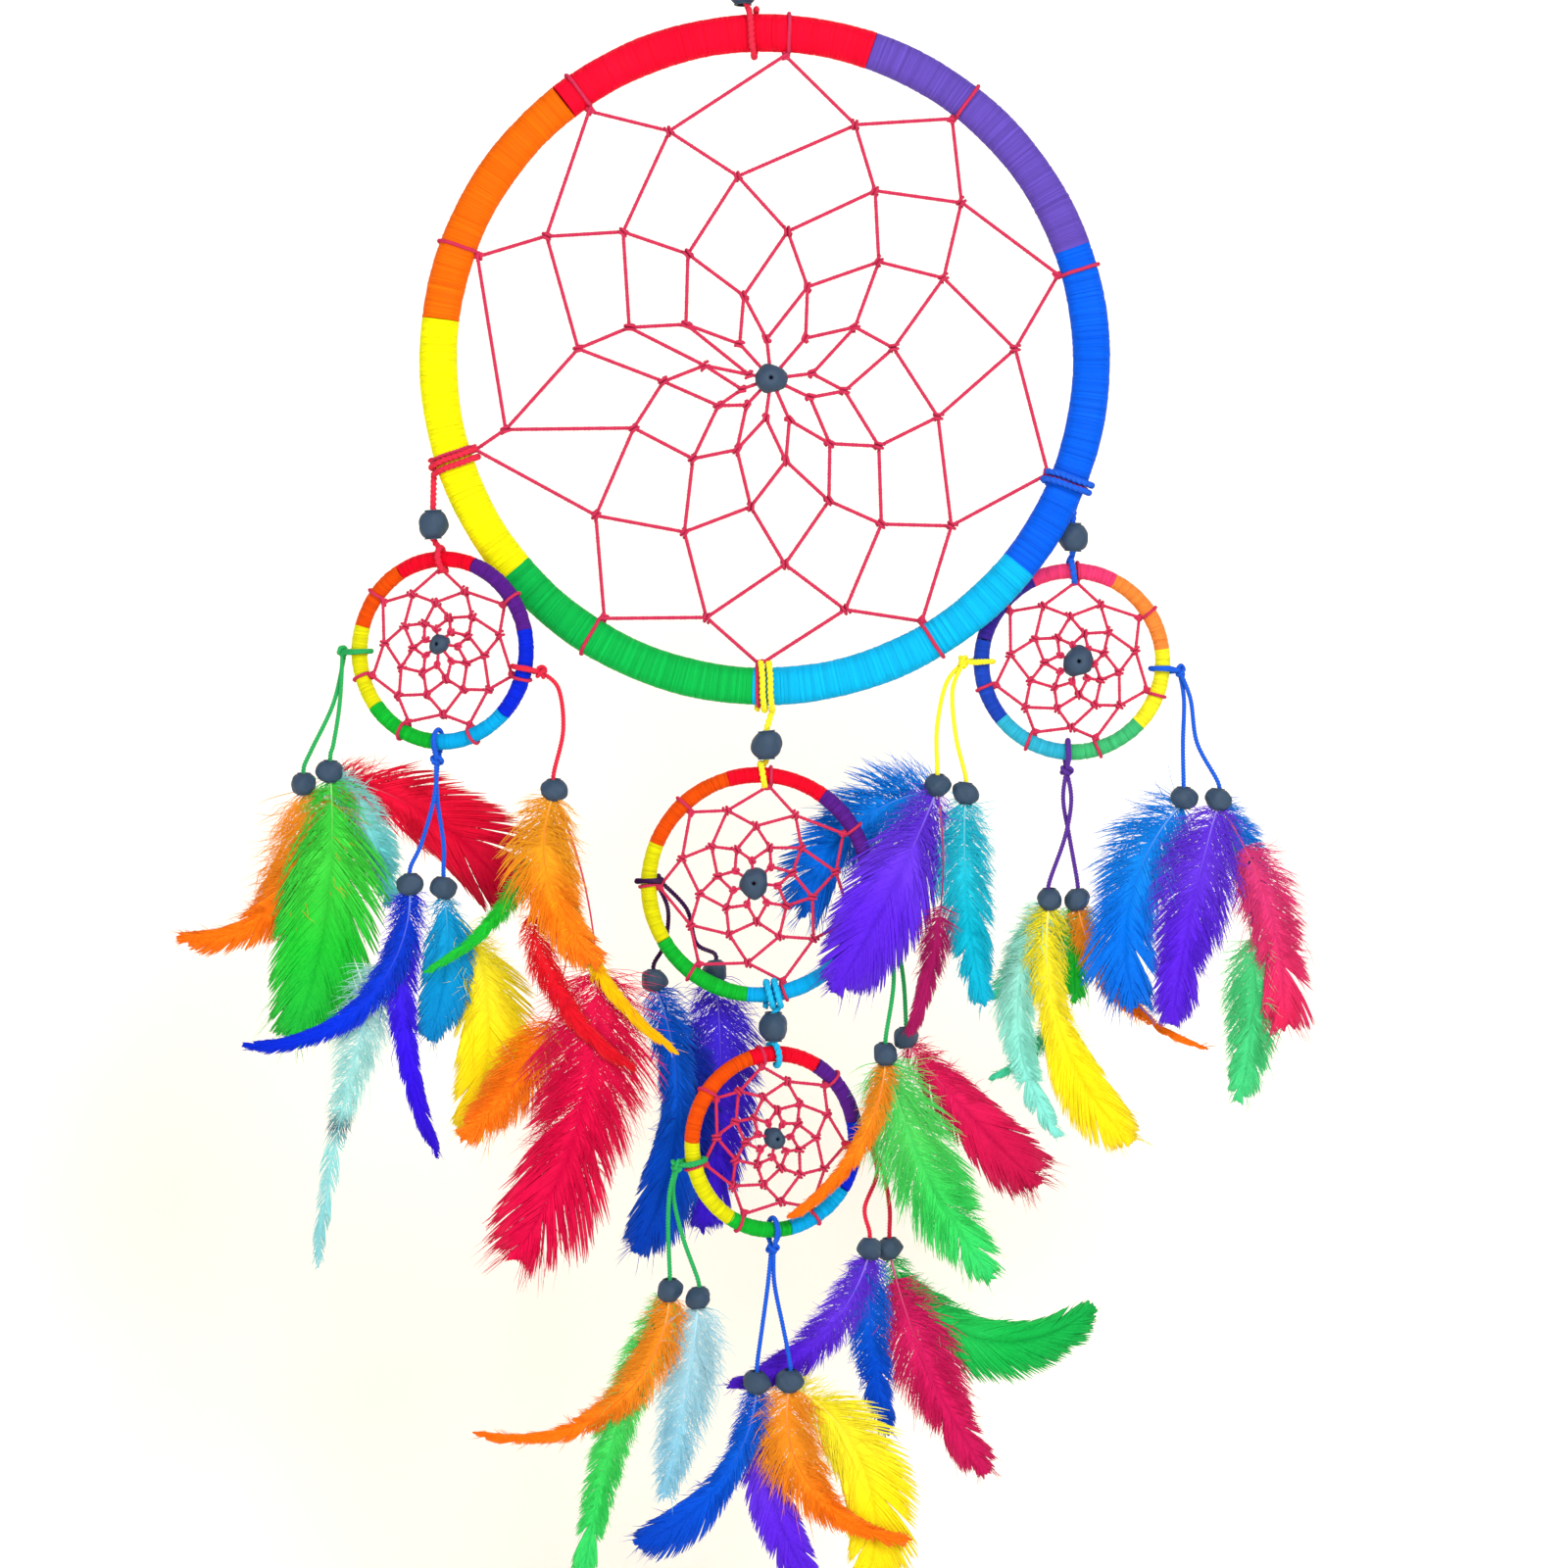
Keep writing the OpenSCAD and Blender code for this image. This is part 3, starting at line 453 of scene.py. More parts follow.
def laid_cord(path, d, lay, plies=3, fine=5):
    """The surface of a laid cord: round a path, at each angle, the distance to the outside of the nearest of its
    round plies, which turn once about the path in each lay."""
    way, u, v = carried(path)
    n = plies * fine
    phase = np.arange(n) * 2 * np.pi / n
    a = ((phase * plies / (2 * np.pi)) % 1 - 0.5) * 2 * np.pi / plies
    off, own = (0.5, 0.5) if plies == 2 else (0.536, 0.464)
    reach = off * np.cos(a) + np.sqrt(np.maximum(own**2 - (off * np.sin(a)) ** 2, 0))
    r = d / 2 * np.maximum(reach, 0.82 if plies == 2 else 0.68)
    theta = phase[None] + 2 * np.pi * lengths(path)[:, None] / lay
    return path[:, None] + (r * np.cos(theta))[..., None] * u[:, None] + (r * np.sin(theta))[..., None] * v[:, None]


def cord_lay(path, d, n):
    """The lay of a cord's surface: millimetres along it, and millimetres round it."""
    run = lengths(path)[:, None] * np.ones(n)
    return np.stack([run, np.ones((len(path), 1)) * np.arange(n) * math.pi * d / n], -1)


def add_cord(heap, path, d, lay, plies=3, fine=5, shade=0.5, finish=0):
    heap.add(laid_cord(path, d, lay, plies, fine), cord_lay(path, d, plies * fine), shade, finish)


# ---- finishes ----


class Sum:
    """A socket in a finish. Sums written on it add Math nodes."""

    def __init__(self, finish, socket):
        self.finish, self.socket = finish, socket

    def math(self, operation, *values):
        return self.finish.add("ShaderNodeMath", {"operation": operation}, dict(enumerate(values)))

    def __add__(self, other):
        return self.math("ADD", self, other)

    def __sub__(self, other):
        return self.math("SUBTRACT", self, other)

    def __rsub__(self, other):
        return self.math("SUBTRACT", other, self)

    def __mul__(self, other):
        return self.math("MULTIPLY", self, other)

    __radd__, __rmul__ = __add__, __mul__


class Finish:
    """A material under way: one Principled shader with its constants set on its own sockets."""

    def __init__(self, name, **constants):
        self.material = bpy.data.materials.new(name)
        self.material.use_nodes = True
        self.tree = self.material.node_tree
        self.tree.nodes.clear()
        self.surface = self.tree.nodes.new("ShaderNodeBsdfPrincipled")
        for socket, value in constants.items():
            self.surface.inputs[socket.replace("_", " ")].default_value = value
        out = self.tree.nodes.new("ShaderNodeOutputMaterial")
        self.tree.links.new(self.surface.outputs[0], out.inputs["Surface"])

    def add(self, kind, settings, inputs, output=0):
        """Adds a node: its settings first, then a value or link for each socket. Returns one output as a Sum."""
        node = self.tree.nodes.new(kind)
        for key, value in settings.items():
            if key == "stops":
                while len(node.color_ramp.elements) < len(value):
                    node.color_ramp.elements.new(0.5)
                for stop, (at, colour) in zip(node.color_ramp.elements, value):
                    stop.position, stop.color = at, (*colour, 1)
            else:
                setattr(node, key, value)
        for key, value in inputs.items():
            self.put(node.inputs[key], value)
        return Sum(self, node.outputs[output])

    def put(self, socket, value):
        if isinstance(value, Sum):
            self.tree.links.new(value.socket, socket)
        elif isinstance(value, tuple) and socket.type == "RGBA":
            socket.default_value = (*value[:3], 1)
        else:
            socket.default_value = value

    def mix(self, share, first, second, how="MIX"):
        """Two colours mixed by a share."""
        return self.add("ShaderNodeMix", {"data_type": "RGBA", "blend_type": how}, {0: share, 6: first, 7: second}, 2)

    def lay(self):
        """The piece's own lay, as two numbers."""
        both = self.add("ShaderNodeUVMap", {"uv_map": "lay"}, {})
        split = self.tree.nodes.new("ShaderNodeSeparateXYZ")
        self.tree.links.new(both.socket, split.inputs[0])
        return Sum(self, split.outputs[0]), Sum(self, split.outputs[1])

    def at(self, x, y, z=0.0):
        return self.add("ShaderNodeCombineXYZ", {}, {0: x, 1: y, 2: z})

    def noise(self, vector, scale, detail=3.0, roughness=0.55):
        settings = {"noise_dimensions": "3D"}
        return self.add(
            "ShaderNodeTexNoise", settings, {"Vector": vector, "Scale": scale, "Detail": detail, "Roughness": roughness}
        )

    def place(self):
        return self.add("ShaderNodeTexCoord", {}, {}, 3)

    def shade(self):
        return self.add("ShaderNodeAttribute", {"attribute_name": "shade"}, {}, 2)

    def spread(self, value, low, high, first=0.0, last=1.0):
        return self.add("ShaderNodeMapRange", {}, {0: value, 1: low, 2: high, 3: first, 4: last})

    def finish(self, colour=None, roughness=None, height=None, metallic=None, strength=0.6, depth=0.0002):
        """Links what varies to the shader, and a height through a Bump node."""
        for socket, value in (("Base Color", colour), ("Roughness", roughness), ("Metallic", metallic)):
            if value is not None:
                self.put(self.surface.inputs[socket], value)
        if height is not None:
            bump = self.add("ShaderNodeBump", {}, {"Strength": strength, "Distance": depth, "Height": height})
            self.put(self.surface.inputs["Normal"], bump)
        return self.material


def scaled(colour, k):
    return tuple(min(1.0, c * k) for c in colour)


def wound_thread(name, colour):
    """Shiny dyed thread wound side by side: each turn a little lighter or darker, with fine twisted fibres."""
    f = Finish(name, Specular_IOR_Level=0.05)
    along, around = f.lay()
    turn = f.noise(f.at(along * 1.9, around * 0.06), 1.0, 2.0)
    patch = f.noise(f.place(), 55.0, 3.0)
    fibre = f.add("ShaderNodeTexWave", {"wave_profile": "SIN"}, {
        "Vector": f.at(along * 1.2 + around * 2.2, 0.0), "Scale": 1.0, "Distortion": 1.2, "Detail": 2.0}, 1)
    tone = f.spread(turn, 0.3, 0.7)
    base = f.mix(tone, scaled(colour, 0.72), scaled(colour, 1.12))
    base = f.mix(f.spread(patch, 0.35, 0.7, 0.0, 0.35), base, scaled(colour, 0.8))
    return f.finish(base, f.spread(patch, 0.3, 0.7, 0.42, 0.62), turn * 0.8 + fibre * 0.5, strength=0.5, depth=0.00012)


def web_thread(name, colour):
    """Waxed thread: two twisted strands, with a little wax shine. Painted shade darkens the colour in the groove,
    and a painted highlight lightens it on the crests.
    """
    f = Finish(name, Specular_IOR_Level=0.14)
    along, around = f.lay()
    twist_and_groove_shade = f.add("ShaderNodeTexWave", {"wave_profile": "SIN"}, {
        "Vector": f.at(along * 0.5 + around * 0.7, 0.0), "Scale": 1.0, "Distortion": 0.8, "Detail": 1.5}, 1)
    wax = f.noise(f.place(), 260.0, 3.0)
    # Painted shade and highlight: the colour follows the twist, darker in its grooves and lighter on its crests.
    base = f.mix(twist_and_groove_shade, scaled(colour, 0.8), scaled(colour, 1.15))
    return f.finish(base, f.spread(wax, 0.3, 0.7, 0.4, 0.6), twist_and_groove_shade + wax * 0.4, strength=0.4, depth=0.00008)


def laid_fibre(name, colour):
    """Soft cotton cord: fibres along each ply, lighter where they rub, with fuzz in the colour."""
    f = Finish(name, Specular_IOR_Level=0.1)
    along, around = f.lay()
    fibre = f.noise(f.at(along * 1.6 + around * 0.8, around * 5.0), 1.3, 4.0, 0.65)
    rub = f.noise(f.place(), 190.0, 2.0)
    base = f.mix(f.spread(fibre, 0.3, 0.7), scaled(colour, 0.66), scaled(colour, 1.15))
    base = f.mix(f.spread(rub, 0.5, 0.75, 0.0, 0.3), base, tuple(c * 0.85 + 0.12 for c in colour))
    return f.finish(base, f.spread(rub, 0.3, 0.7, 0.6, 0.8), fibre, strength=0.6, depth=0.0002)


def painted_wood(name, dark, light):
    """Carved beads in thin dark paint: streaks of grain, worn lighter on the high spots."""
    f = Finish(name, Specular_IOR_Level=0.25)
    place = f.add("ShaderNodeMapping", {}, {"Vector": f.place(), "Scale": (1.0, 1.0, 0.35)})
    grain = f.noise(place, 620.0, 5.0, 0.6)
    wear = f.noise(f.place(), 210.0, 3.0)
    pits = f.add("ShaderNodeTexVoronoi", {"feature": "F1"}, {"Vector": place, "Scale": 900.0}, 0)
    tone = f.spread(grain, 0.35, 0.68)
    base = f.mix(tone, dark, light)
    base = f.mix(f.spread(wear, 0.55, 0.75, 0.0, 0.4), base, scaled(light, 1.2))
    return f.finish(base, f.spread(wear, 0.3, 0.7, 0.2, 0.4), grain + pits * 0.35, strength=0.22, depth=0.0002)


def ring_metal(name):
    """Plain drawn steel wire under the thread, with fine scratches and a few dull patches."""
    f = Finish(name, Specular_IOR_Level=0.5)
    place = f.place()
    dull = f.noise(place, 90.0, 4.0)
    scratch = f.noise(f.add("ShaderNodeMapping", {}, {"Vector": place, "Scale": (1.0, 14.0, 1.0)}), 400.0, 3.0)
    base = f.mix(dull, (0.42, 0.42, 0.44), (0.62, 0.62, 0.63))
    return f.finish(base, f.spread(dull, 0.3, 0.7, 0.25, 0.5), scratch, f.spread(dull, 0.6, 0.8, 1.0, 0.8),
                    strength=0.2, depth=0.0001)


def feather_dye(name, colours, dark_spot=None):
    """Dyed barbs: the dye deepens from quill to tip, each barb takes it a little differently, and the thin barb ends
    are painted paler, a painted glow standing in for light coming through them."""
    f = Finish(name, Specular_IOR_Level=0.06)
    share, edge = f.lay()
    shade = f.shade()
    quill, down, vane, tip = (dye(*c) for c in colours)
    stops = [(0.0, down), (0.3, down), (0.6, vane), (1.0, tip)]
    base = f.add("ShaderNodeValToRGB", {"stops": stops}, {0: share + (shade - 0.5) * 0.12})
    base = f.mix(f.spread(shade, 0.0, 1.0, 0.0, 0.45), base, scaled(vane, 0.6))
    # Painted light: the outer ends of each barb are painted paler, as if lit through from behind.
    base = f.mix(f.spread(edge, 0.6, 1.0, 0.0, 0.3), base, tuple(c * 0.92 + 0.06 for c in down))
    if dark_spot:
        ring = f.spread(share, dark_spot - 0.05, dark_spot) * f.spread(share, dark_spot + 0.05, dark_spot)
        base = f.mix(ring, base, dye(10, 90, 110))
    streak = f.noise(f.at(share * 60.0, edge * 9.0, shade * 40.0), 1.0, 3.0)
    base = f.mix(f.spread(streak, 0.35, 0.7, 0.0, 0.25), base, scaled(down, 1.2))
    return f.finish(base, f.spread(streak, 0.3, 0.7, 0.45, 0.7), streak, strength=0.3, depth=0.0001)


def feather_shaft(name, colours):
    """The quill: pale horn at its foot, taking the dye towards the tip."""
    f = Finish(name, Specular_IOR_Level=0.2)
    share, _ = f.lay()
    quill, down, vane, tip = (dye(*c) for c in colours)
    stops = [(0.0, quill), (0.12, tuple(0.4 * a + 0.6 * b for a, b in zip(quill, vane))), (0.4, scaled(vane, 0.85)),
             (1.0, scaled(vane, 0.7))]
    base = f.add("ShaderNodeValToRGB", {"stops": stops}, {0: share})
    streak = f.noise(f.place(), 700.0, 3.0)
    base = f.mix(f.spread(streak, 0.4, 0.7, 0.0, 0.3), base, scaled(vane, 0.55))
    return f.finish(base, f.spread(streak, 0.3, 0.7, 0.3, 0.5), streak, strength=0.2, depth=0.0001)


# ---- what a user may change ----


def size(name, description, default):
    return bpy.props.FloatProperty(name=name, description=description, default=default * MM, unit="LENGTH", precision=5)


def shade_of(name, description, default):
    return bpy.props.FloatVectorProperty(
        name=name, description=description, default=default, subtype="COLOR", size=3, min=0, max=1
    )


class DreamCatcherSizes(bpy.types.PropertyGroup):
    """Sizes of the threads, cords, beads and feather barbs."""

    main_pitch: size("Main winding", "Distance between turns of thread on the main hoop", 0.62)
    small_pitch: size("Small winding", "Distance between turns of thread on a small hoop", 0.56)
    web_d: size("Web thread", "Thickness of the web thread", 1.5)
    cord_d: size("Tassel cord", "Thickness of a tassel's cord", 1.6)
    sling_d: size("Sling cord", "Thickness of the cords that carry the hoops", 2.2)
    shaft_d: size("Feather shaft", "Thickness of a long feather's shaft at its foot", 0.85)
    barb_w: size("Barb", "Width of a broad feather's barb", 0.95)
    hair_w: size("Down", "Width of a hair of down", 0.2)
    dents: bpy.props.FloatProperty(
        name="Bead dents", description="How far from round the carved beads are", default=0.12, min=0, max=0.14
    )


class DreamCatcherColours(bpy.types.PropertyGroup):
    """Colours of the threads, cords and beads."""

    red: shade_of("Red", "Red winding thread of the main hoop", dye(246, 6, 48))
    orange: shade_of("Orange", "Orange winding thread of the main hoop", dye(253, 108, 4))
    yellow: shade_of("Yellow", "Yellow winding thread of the main hoop", dye(251, 247, 4))
    green: shade_of("Green", "Green winding thread of the main hoop", dye(10, 182, 76))
    cyan: shade_of("Cyan", "Cyan winding thread of the main hoop", dye(8, 184, 242))
    blue: shade_of("Blue", "Blue winding thread of the main hoop", dye(3, 96, 240))
    purple: shade_of("Purple", "Purple winding thread of the main hoop", dye(100, 76, 184))
    web: shade_of("Web", "Waxed thread of the webs", dye(200, 14, 52))
    bead_dark: shade_of("Bead paint", "Dark paint of the beads", dye(4, 8, 18))
    bead_light: shade_of("Bead wear", "Paler paint on the beads' high spots", dye(18, 38, 74))


DEEP = {
    "red": (240, 6, 40), "orange": (236, 80, 5), "yellow": (228, 226, 14), "green": (16, 185, 50),
    "cyan": (6, 172, 240), "blue": (5, 40, 226), "purple": (88, 30, 140),
}
PALE = {
    "red": (240, 62, 118), "orange": (250, 140, 60), "yellow": (250, 240, 40), "green": (66, 190, 120),
    "cyan": (50, 180, 215), "blue": (30, 70, 190), "purple": (60, 40, 150),
}
CORDS = {
    "red": (222, 12, 38), "blue": (2, 84, 214), "yellow": (250, 232, 30), "cyan": (4, 175, 225),
    "green": (22, 168, 62), "purple": (84, 42, 148), "plum_dark": (58, 14, 76),
}


def stock(kind, name, *values):
    """A finish by name, made the first time that it is asked for."""
    return bpy.data.materials.get(name) or kind(name, *values)


def settings():
    return bpy.context.scene.dream_catcher_sizes, bpy.context.scene.dream_catcher_colours


# ---- shapes of the pieces ----


def winding(r, half_w, half_t, core, start, end, pitch, n, seed):
    """One colour's stretch of wound thread, a closed shell round the ring inside it. Its outside is the rim's section
    carried round the hoop, each turn of thread rising as a half circle, a little uneven from turn to turn, and its
    inside is the ring's own section. Clockwise angles start and end are in degrees."""
    rng = np.random.default_rng(seed)
    turns_in = round(math.radians(end - start) * r / pitch)
    along = np.arange(3 * turns_in + 1) / 3
    number = np.minimum(along.astype(int), turns_in - 1)
    rise = np.sqrt(np.clip(1 - (2 * (along % 1) - 1) ** 2, 0, 1)) * 0.24 * pitch
    bumpy = rng.normal(0, 0.045, turns_in)[number] + 0.08 * np.sin(along * 0.11 + rng.uniform(0, 6))
    a = start + (end - start) * along / turns_in
    side = 2 * np.pi * np.arange(n) / n
    skew = rng.normal(0, 0.25, turns_in)[number][:, None] * np.sin(side)[None] / r * 57
    ridge = (rise + bumpy * (along * (turns_in - along) > 0))[:, None] - 0.1
    c, s = np.cos(side)[None], np.sin(side)[None]
    outside = clock(1, a[:, None] + skew) * (r + np.sign(c) * (half_w - half_t) + (half_t + ridge) * c)[..., None]
    outside = outside + ((half_t + ridge) * -s)[..., None] * Y
    b = np.linspace(end, start, 25)[:, None] + 0 * side[None]
    box = np.maximum(np.abs(np.cos(side)), np.abs(np.sin(side)))
    inside = clock(1, b) * (r + core[0] / 2 * np.cos(side) / box)[None, :, None]
    inside = inside - (core[1] / 2 * np.sin(side) / box)[None, :, None] * Y
    shell = np.concatenate([outside, inside])
    run = np.concatenate([along * pitch, np.linspace(turns_in, 0, 25) * pitch])[:, None] + 0 * side[None]
    lay = np.stack([run, 0 * run + side * half_t], -1)
    return shell, lay


def bead_surface(d, h, bore, dents, seed, n=40):
    """A carved bead on an upright bore: a rounded side, widest at the middle, dented by slow waves round it and
    across it, with one flat cut face and a lean to one side, and a straight bore whose mouths are rounded over."""
    rng = np.random.default_rng(seed)
    a = np.radians(np.linspace(72, -72, 17))
    side = np.stack([d / 2 * np.cos(a) ** 0.8, h / 2 * np.sin(a) / math.sin(math.radians(72))], -1)
    mouth = [(bore / 2 + 0.4, -h / 2 - 0.05), (bore / 2 + 0.1, -h / 2 + 0.25)]
    inner = [(bore / 2, z) for z in np.linspace(-h / 2 + 0.9, h / 2 - 0.9, 4)]
    top = [(bore / 2 + 0.1, h / 2 - 0.25), (bore / 2 + 0.4, h / 2 + 0.05)]
    ring = np.vstack([side, mouth, inner, top])
    turn = 2 * np.pi * np.arange(n)[:, None] / n
    r, z = ring[None, :, 0], ring[None, :, 1]
    p = rng.uniform(0, 6.28, 8)
    out = np.clip((r - bore / 2) / (d / 2 - bore / 2), 0, 1)
    dent = np.sin(2 * turn + p[0]) + 0.7 * np.sin(3 * turn + p[1] + z * 0.5) + 0.4 * np.sin(5 * turn + p[2] - z * 0.7)
    dent = dent + 0.3 * np.sin(9 * turn + p[3] + z * 1.8)
    r2 = r * (1 + dents * 0.55 * dent * out)
    cut = d / 2 * 0.86 / np.maximum(np.cos(turn - p[6]), 0.3)
    r2 = np.where(out > 0.05, np.minimum(r2, cut + 0.3 * (r2 - cut)), r2)
    z2 = z * (1 + dents * 1.3 * np.sin(turn + p[4]) * out) + dents * 6 * np.sin(turn + p[5]) * (r / d)
    return np.stack([r2 * np.cos(turn), r2 * np.sin(turn), z2], -1)


def hitch(at, along, r, d, loops=1.6):
    """A small coil of thread round a line through a point: one and a half turns that step along the line."""
    along = unit(np.asarray(along, float))
    u = unit(np.cross(along, Y))
    v = np.cross(along, u)
    a = np.linspace(0, loops * 2 * np.pi, 22)[:, None]
    step = d * 0.9
    return np.asarray(at) + r * np.cos(a) * u + r * np.sin(a) * v + (a / (2 * np.pi) - loops / 2) * step * along


def web_rows(anchors, inner_r, eye, rows):
    """The knots of a small web: each lies between two of the row before, drawn in towards the eye and turned 4
    degrees round it."""
    pull = [0, 0.14, 0.19, 0.26, 0.33, 0.42, 0.5]
    found = [clock(inner_r, anchors)]
    for row in range(1, rows + 1):
        half = ((found[-1] + np.roll(found[-1], -1, 0)) / 2 - eye) * (1 - pull[row])
        c, s = math.cos(math.radians(4)), math.sin(math.radians(4))
        x, z = half[:, 0], half[:, 2]
        found.append(eye + np.stack([x * c - z * s, 0 * x, x * s + z * c], -1))
    return found


def web_heap(rim_r, half_w, half_t, anchors, knots, eye, d, seed):
    """A web of one long thread: hitched round the rim at each anchor, then row after row from knot to knot, each knot
    a small coil on the row before, and last from the inmost knots to the bead at the eye."""
    rng = np.random.default_rng(seed)
    heap = Heap()
    count = len(anchors)
    first = []
    for i, a in enumerate(anchors):
        out = clock(1, a)
        loop = turns(clock(rim_r, a), out, Y, half_w, half_t, d * 0.3, 200, 520, 18, 1.3 * d + rng.uniform(-0.3, 0.3))
        first += [loop, knots[1][i][None] - [0, d * 0.4, 0]]
        along = np.cross(out, Y)
        for shift in (0.0, 0.55):
            ring = hitch(clock(rim_r - half_w - d * (0.5 + shift), a), out, d * 0.62, d * 0.8, 1.3)
            add_cord(heap, ring, d * 0.8, HITCH_LAY, 2, 3, rng.uniform())
    path = np.vstack(first + [first[0][:1]])
    add_cord(heap, spaced(path, WEB_STEP), d, THREAD_LAY, 2, 4)
    for row in range(1, len(knots)):
        here, last = knots[row], row == len(knots) - 1
        inner = None if last else knots[row + 1]
        lift = d * 0.4 * (1 if row % 2 else -1)
        for i in range(count):
            a, b = here[i], here[(i + 1) % count]
            if last:
                path = np.stack([a, a + (eye - a) * 0.5 + [0, lift * 0.5, 0], eye])
            else:
                path = np.stack([a + [0, lift, 0], inner[i] + [0, -lift, 0], b + [0, lift, 0]])
            add_cord(heap, spaced(path, WEB_STEP), d, THREAD_LAY, 2, 4, rng.uniform())
            across = unit(np.roll(here, -1, 0)[i] - np.roll(here, 1, 0)[i])
            tight = d * (0.7 if last else 0.95)
            add_cord(heap, hitch(a, across, tight, d, 1.7), d * 0.85, HITCH_LAY, 2, 3, rng.uniform())
    return heap


def spine(f, t):
    """A feather's middle line. Its lean from straight down changes evenly from base to tip, so it is the arc of a
    circle: x is the radius times the fall in the cosine of the lean, and z its rise in the sine, downwards."""
    bend = math.radians(f[3] - f[2])
    bend = bend if abs(bend) > 1e-3 else 1e-3
    a0 = math.radians(f[2])
    a = a0 + bend * t
    point = np.stack([f[1] / bend * (np.cos(a0) - np.cos(a)), 0 * t, -f[1] / bend * (np.sin(a) - np.sin(a0))], -1)
    down = np.stack([np.sin(a), 0 * t, -np.cos(a)], -1)
    across = np.stack([np.cos(a), 0 * t, np.sin(a)], -1)
    return point, down, across


def outline(t, make):
    """Half the width of a vane at a share t of its length, as a share of its most: straight stretches between the
    widths of its make, and over its last tenth a quarter of an oval."""
    end = np.clip((t - 0.9) / 0.1, 0, 1)
    return np.interp(t, np.linspace(0, 1, 11), make["shape"]) * np.sqrt(1 - end**2)


def barb_reach(t, angle, length, width, make, bare):
    """How long each barb is: of forty lengths, the first at which a straight line from the shaft at its angle passes
    the vane's outline."""
    reach = np.linspace(0.4, width * 1.5 + 2, 40)[None]
    tip = (t[:, None] + reach * np.cos(angle)[:, None] / length - bare) / (1 - bare)
    over = reach * np.sin(angle)[:, None] > width / 2 * outline(tip, make) * (tip < 1) + 0.1
    return reach[0, np.argmax(over, axis=1)]


def ease(t):
    s = np.clip(t, 0, 1)
    return s * s * (3 - 2 * s)


def add_barbs(heap, f, at, t, side, reach, open_angle, curl, wave, lift, w0, drift, shades, m=6):
    """Barbs from a feather's shaft. Each leaves at its angle from the shaft's way and turns towards the tip as it
    goes; its line is the running sum of its direction. Round that line goes a narrow three-edged leaf, flat behind
    and ridged in front, that thins to its end."""
    q = np.linspace(0, 1, m)[None]
    point, down, across = spine(f, t)
    turn = open_angle[:, None] * (1 - curl[:, None] * q) + wave[:, None] * np.sin(q * 5 + t[:, None] * 37)
    mid = (turn[:, 1:] + turn[:, :-1]) / 2
    start = np.zeros((len(t), 1))
    step = (reach / (m - 1))[:, None]
    run = np.concatenate([start, np.cumsum(np.cos(mid) * step, 1)], 1) + drift[:, None] * q**2
    out = np.concatenate([start, np.cumsum(np.sin(mid) * step, 1)], 1) * side[:, None]
    centre = at(t)[:, None] + point[:, None] + run[..., None] * down[:, None] + out[..., None] * across[:, None]
    centre = centre + (lift[:, None] * q**1.5)[..., None] * Y
    way = unit(np.gradient(centre, axis=1))
    edge = unit(np.cross(way, Y))
    w = (w0[:, None] * (1 - 0.85 * q**5))[..., None] / 2
    tilt = 0.22 * w * Y
    leaf = np.stack([centre + edge * w + tilt, centre - w * 0.5 * Y, centre - edge * w - tilt], 2)
    share = np.clip(t[:, None] + run / f[1], 0, 1)
    lay = np.stack([share, q + 0 * share], -1)[:, :, None] + np.zeros((1, 1, 3, 1))
    heap.add(leaf, lay, shades)


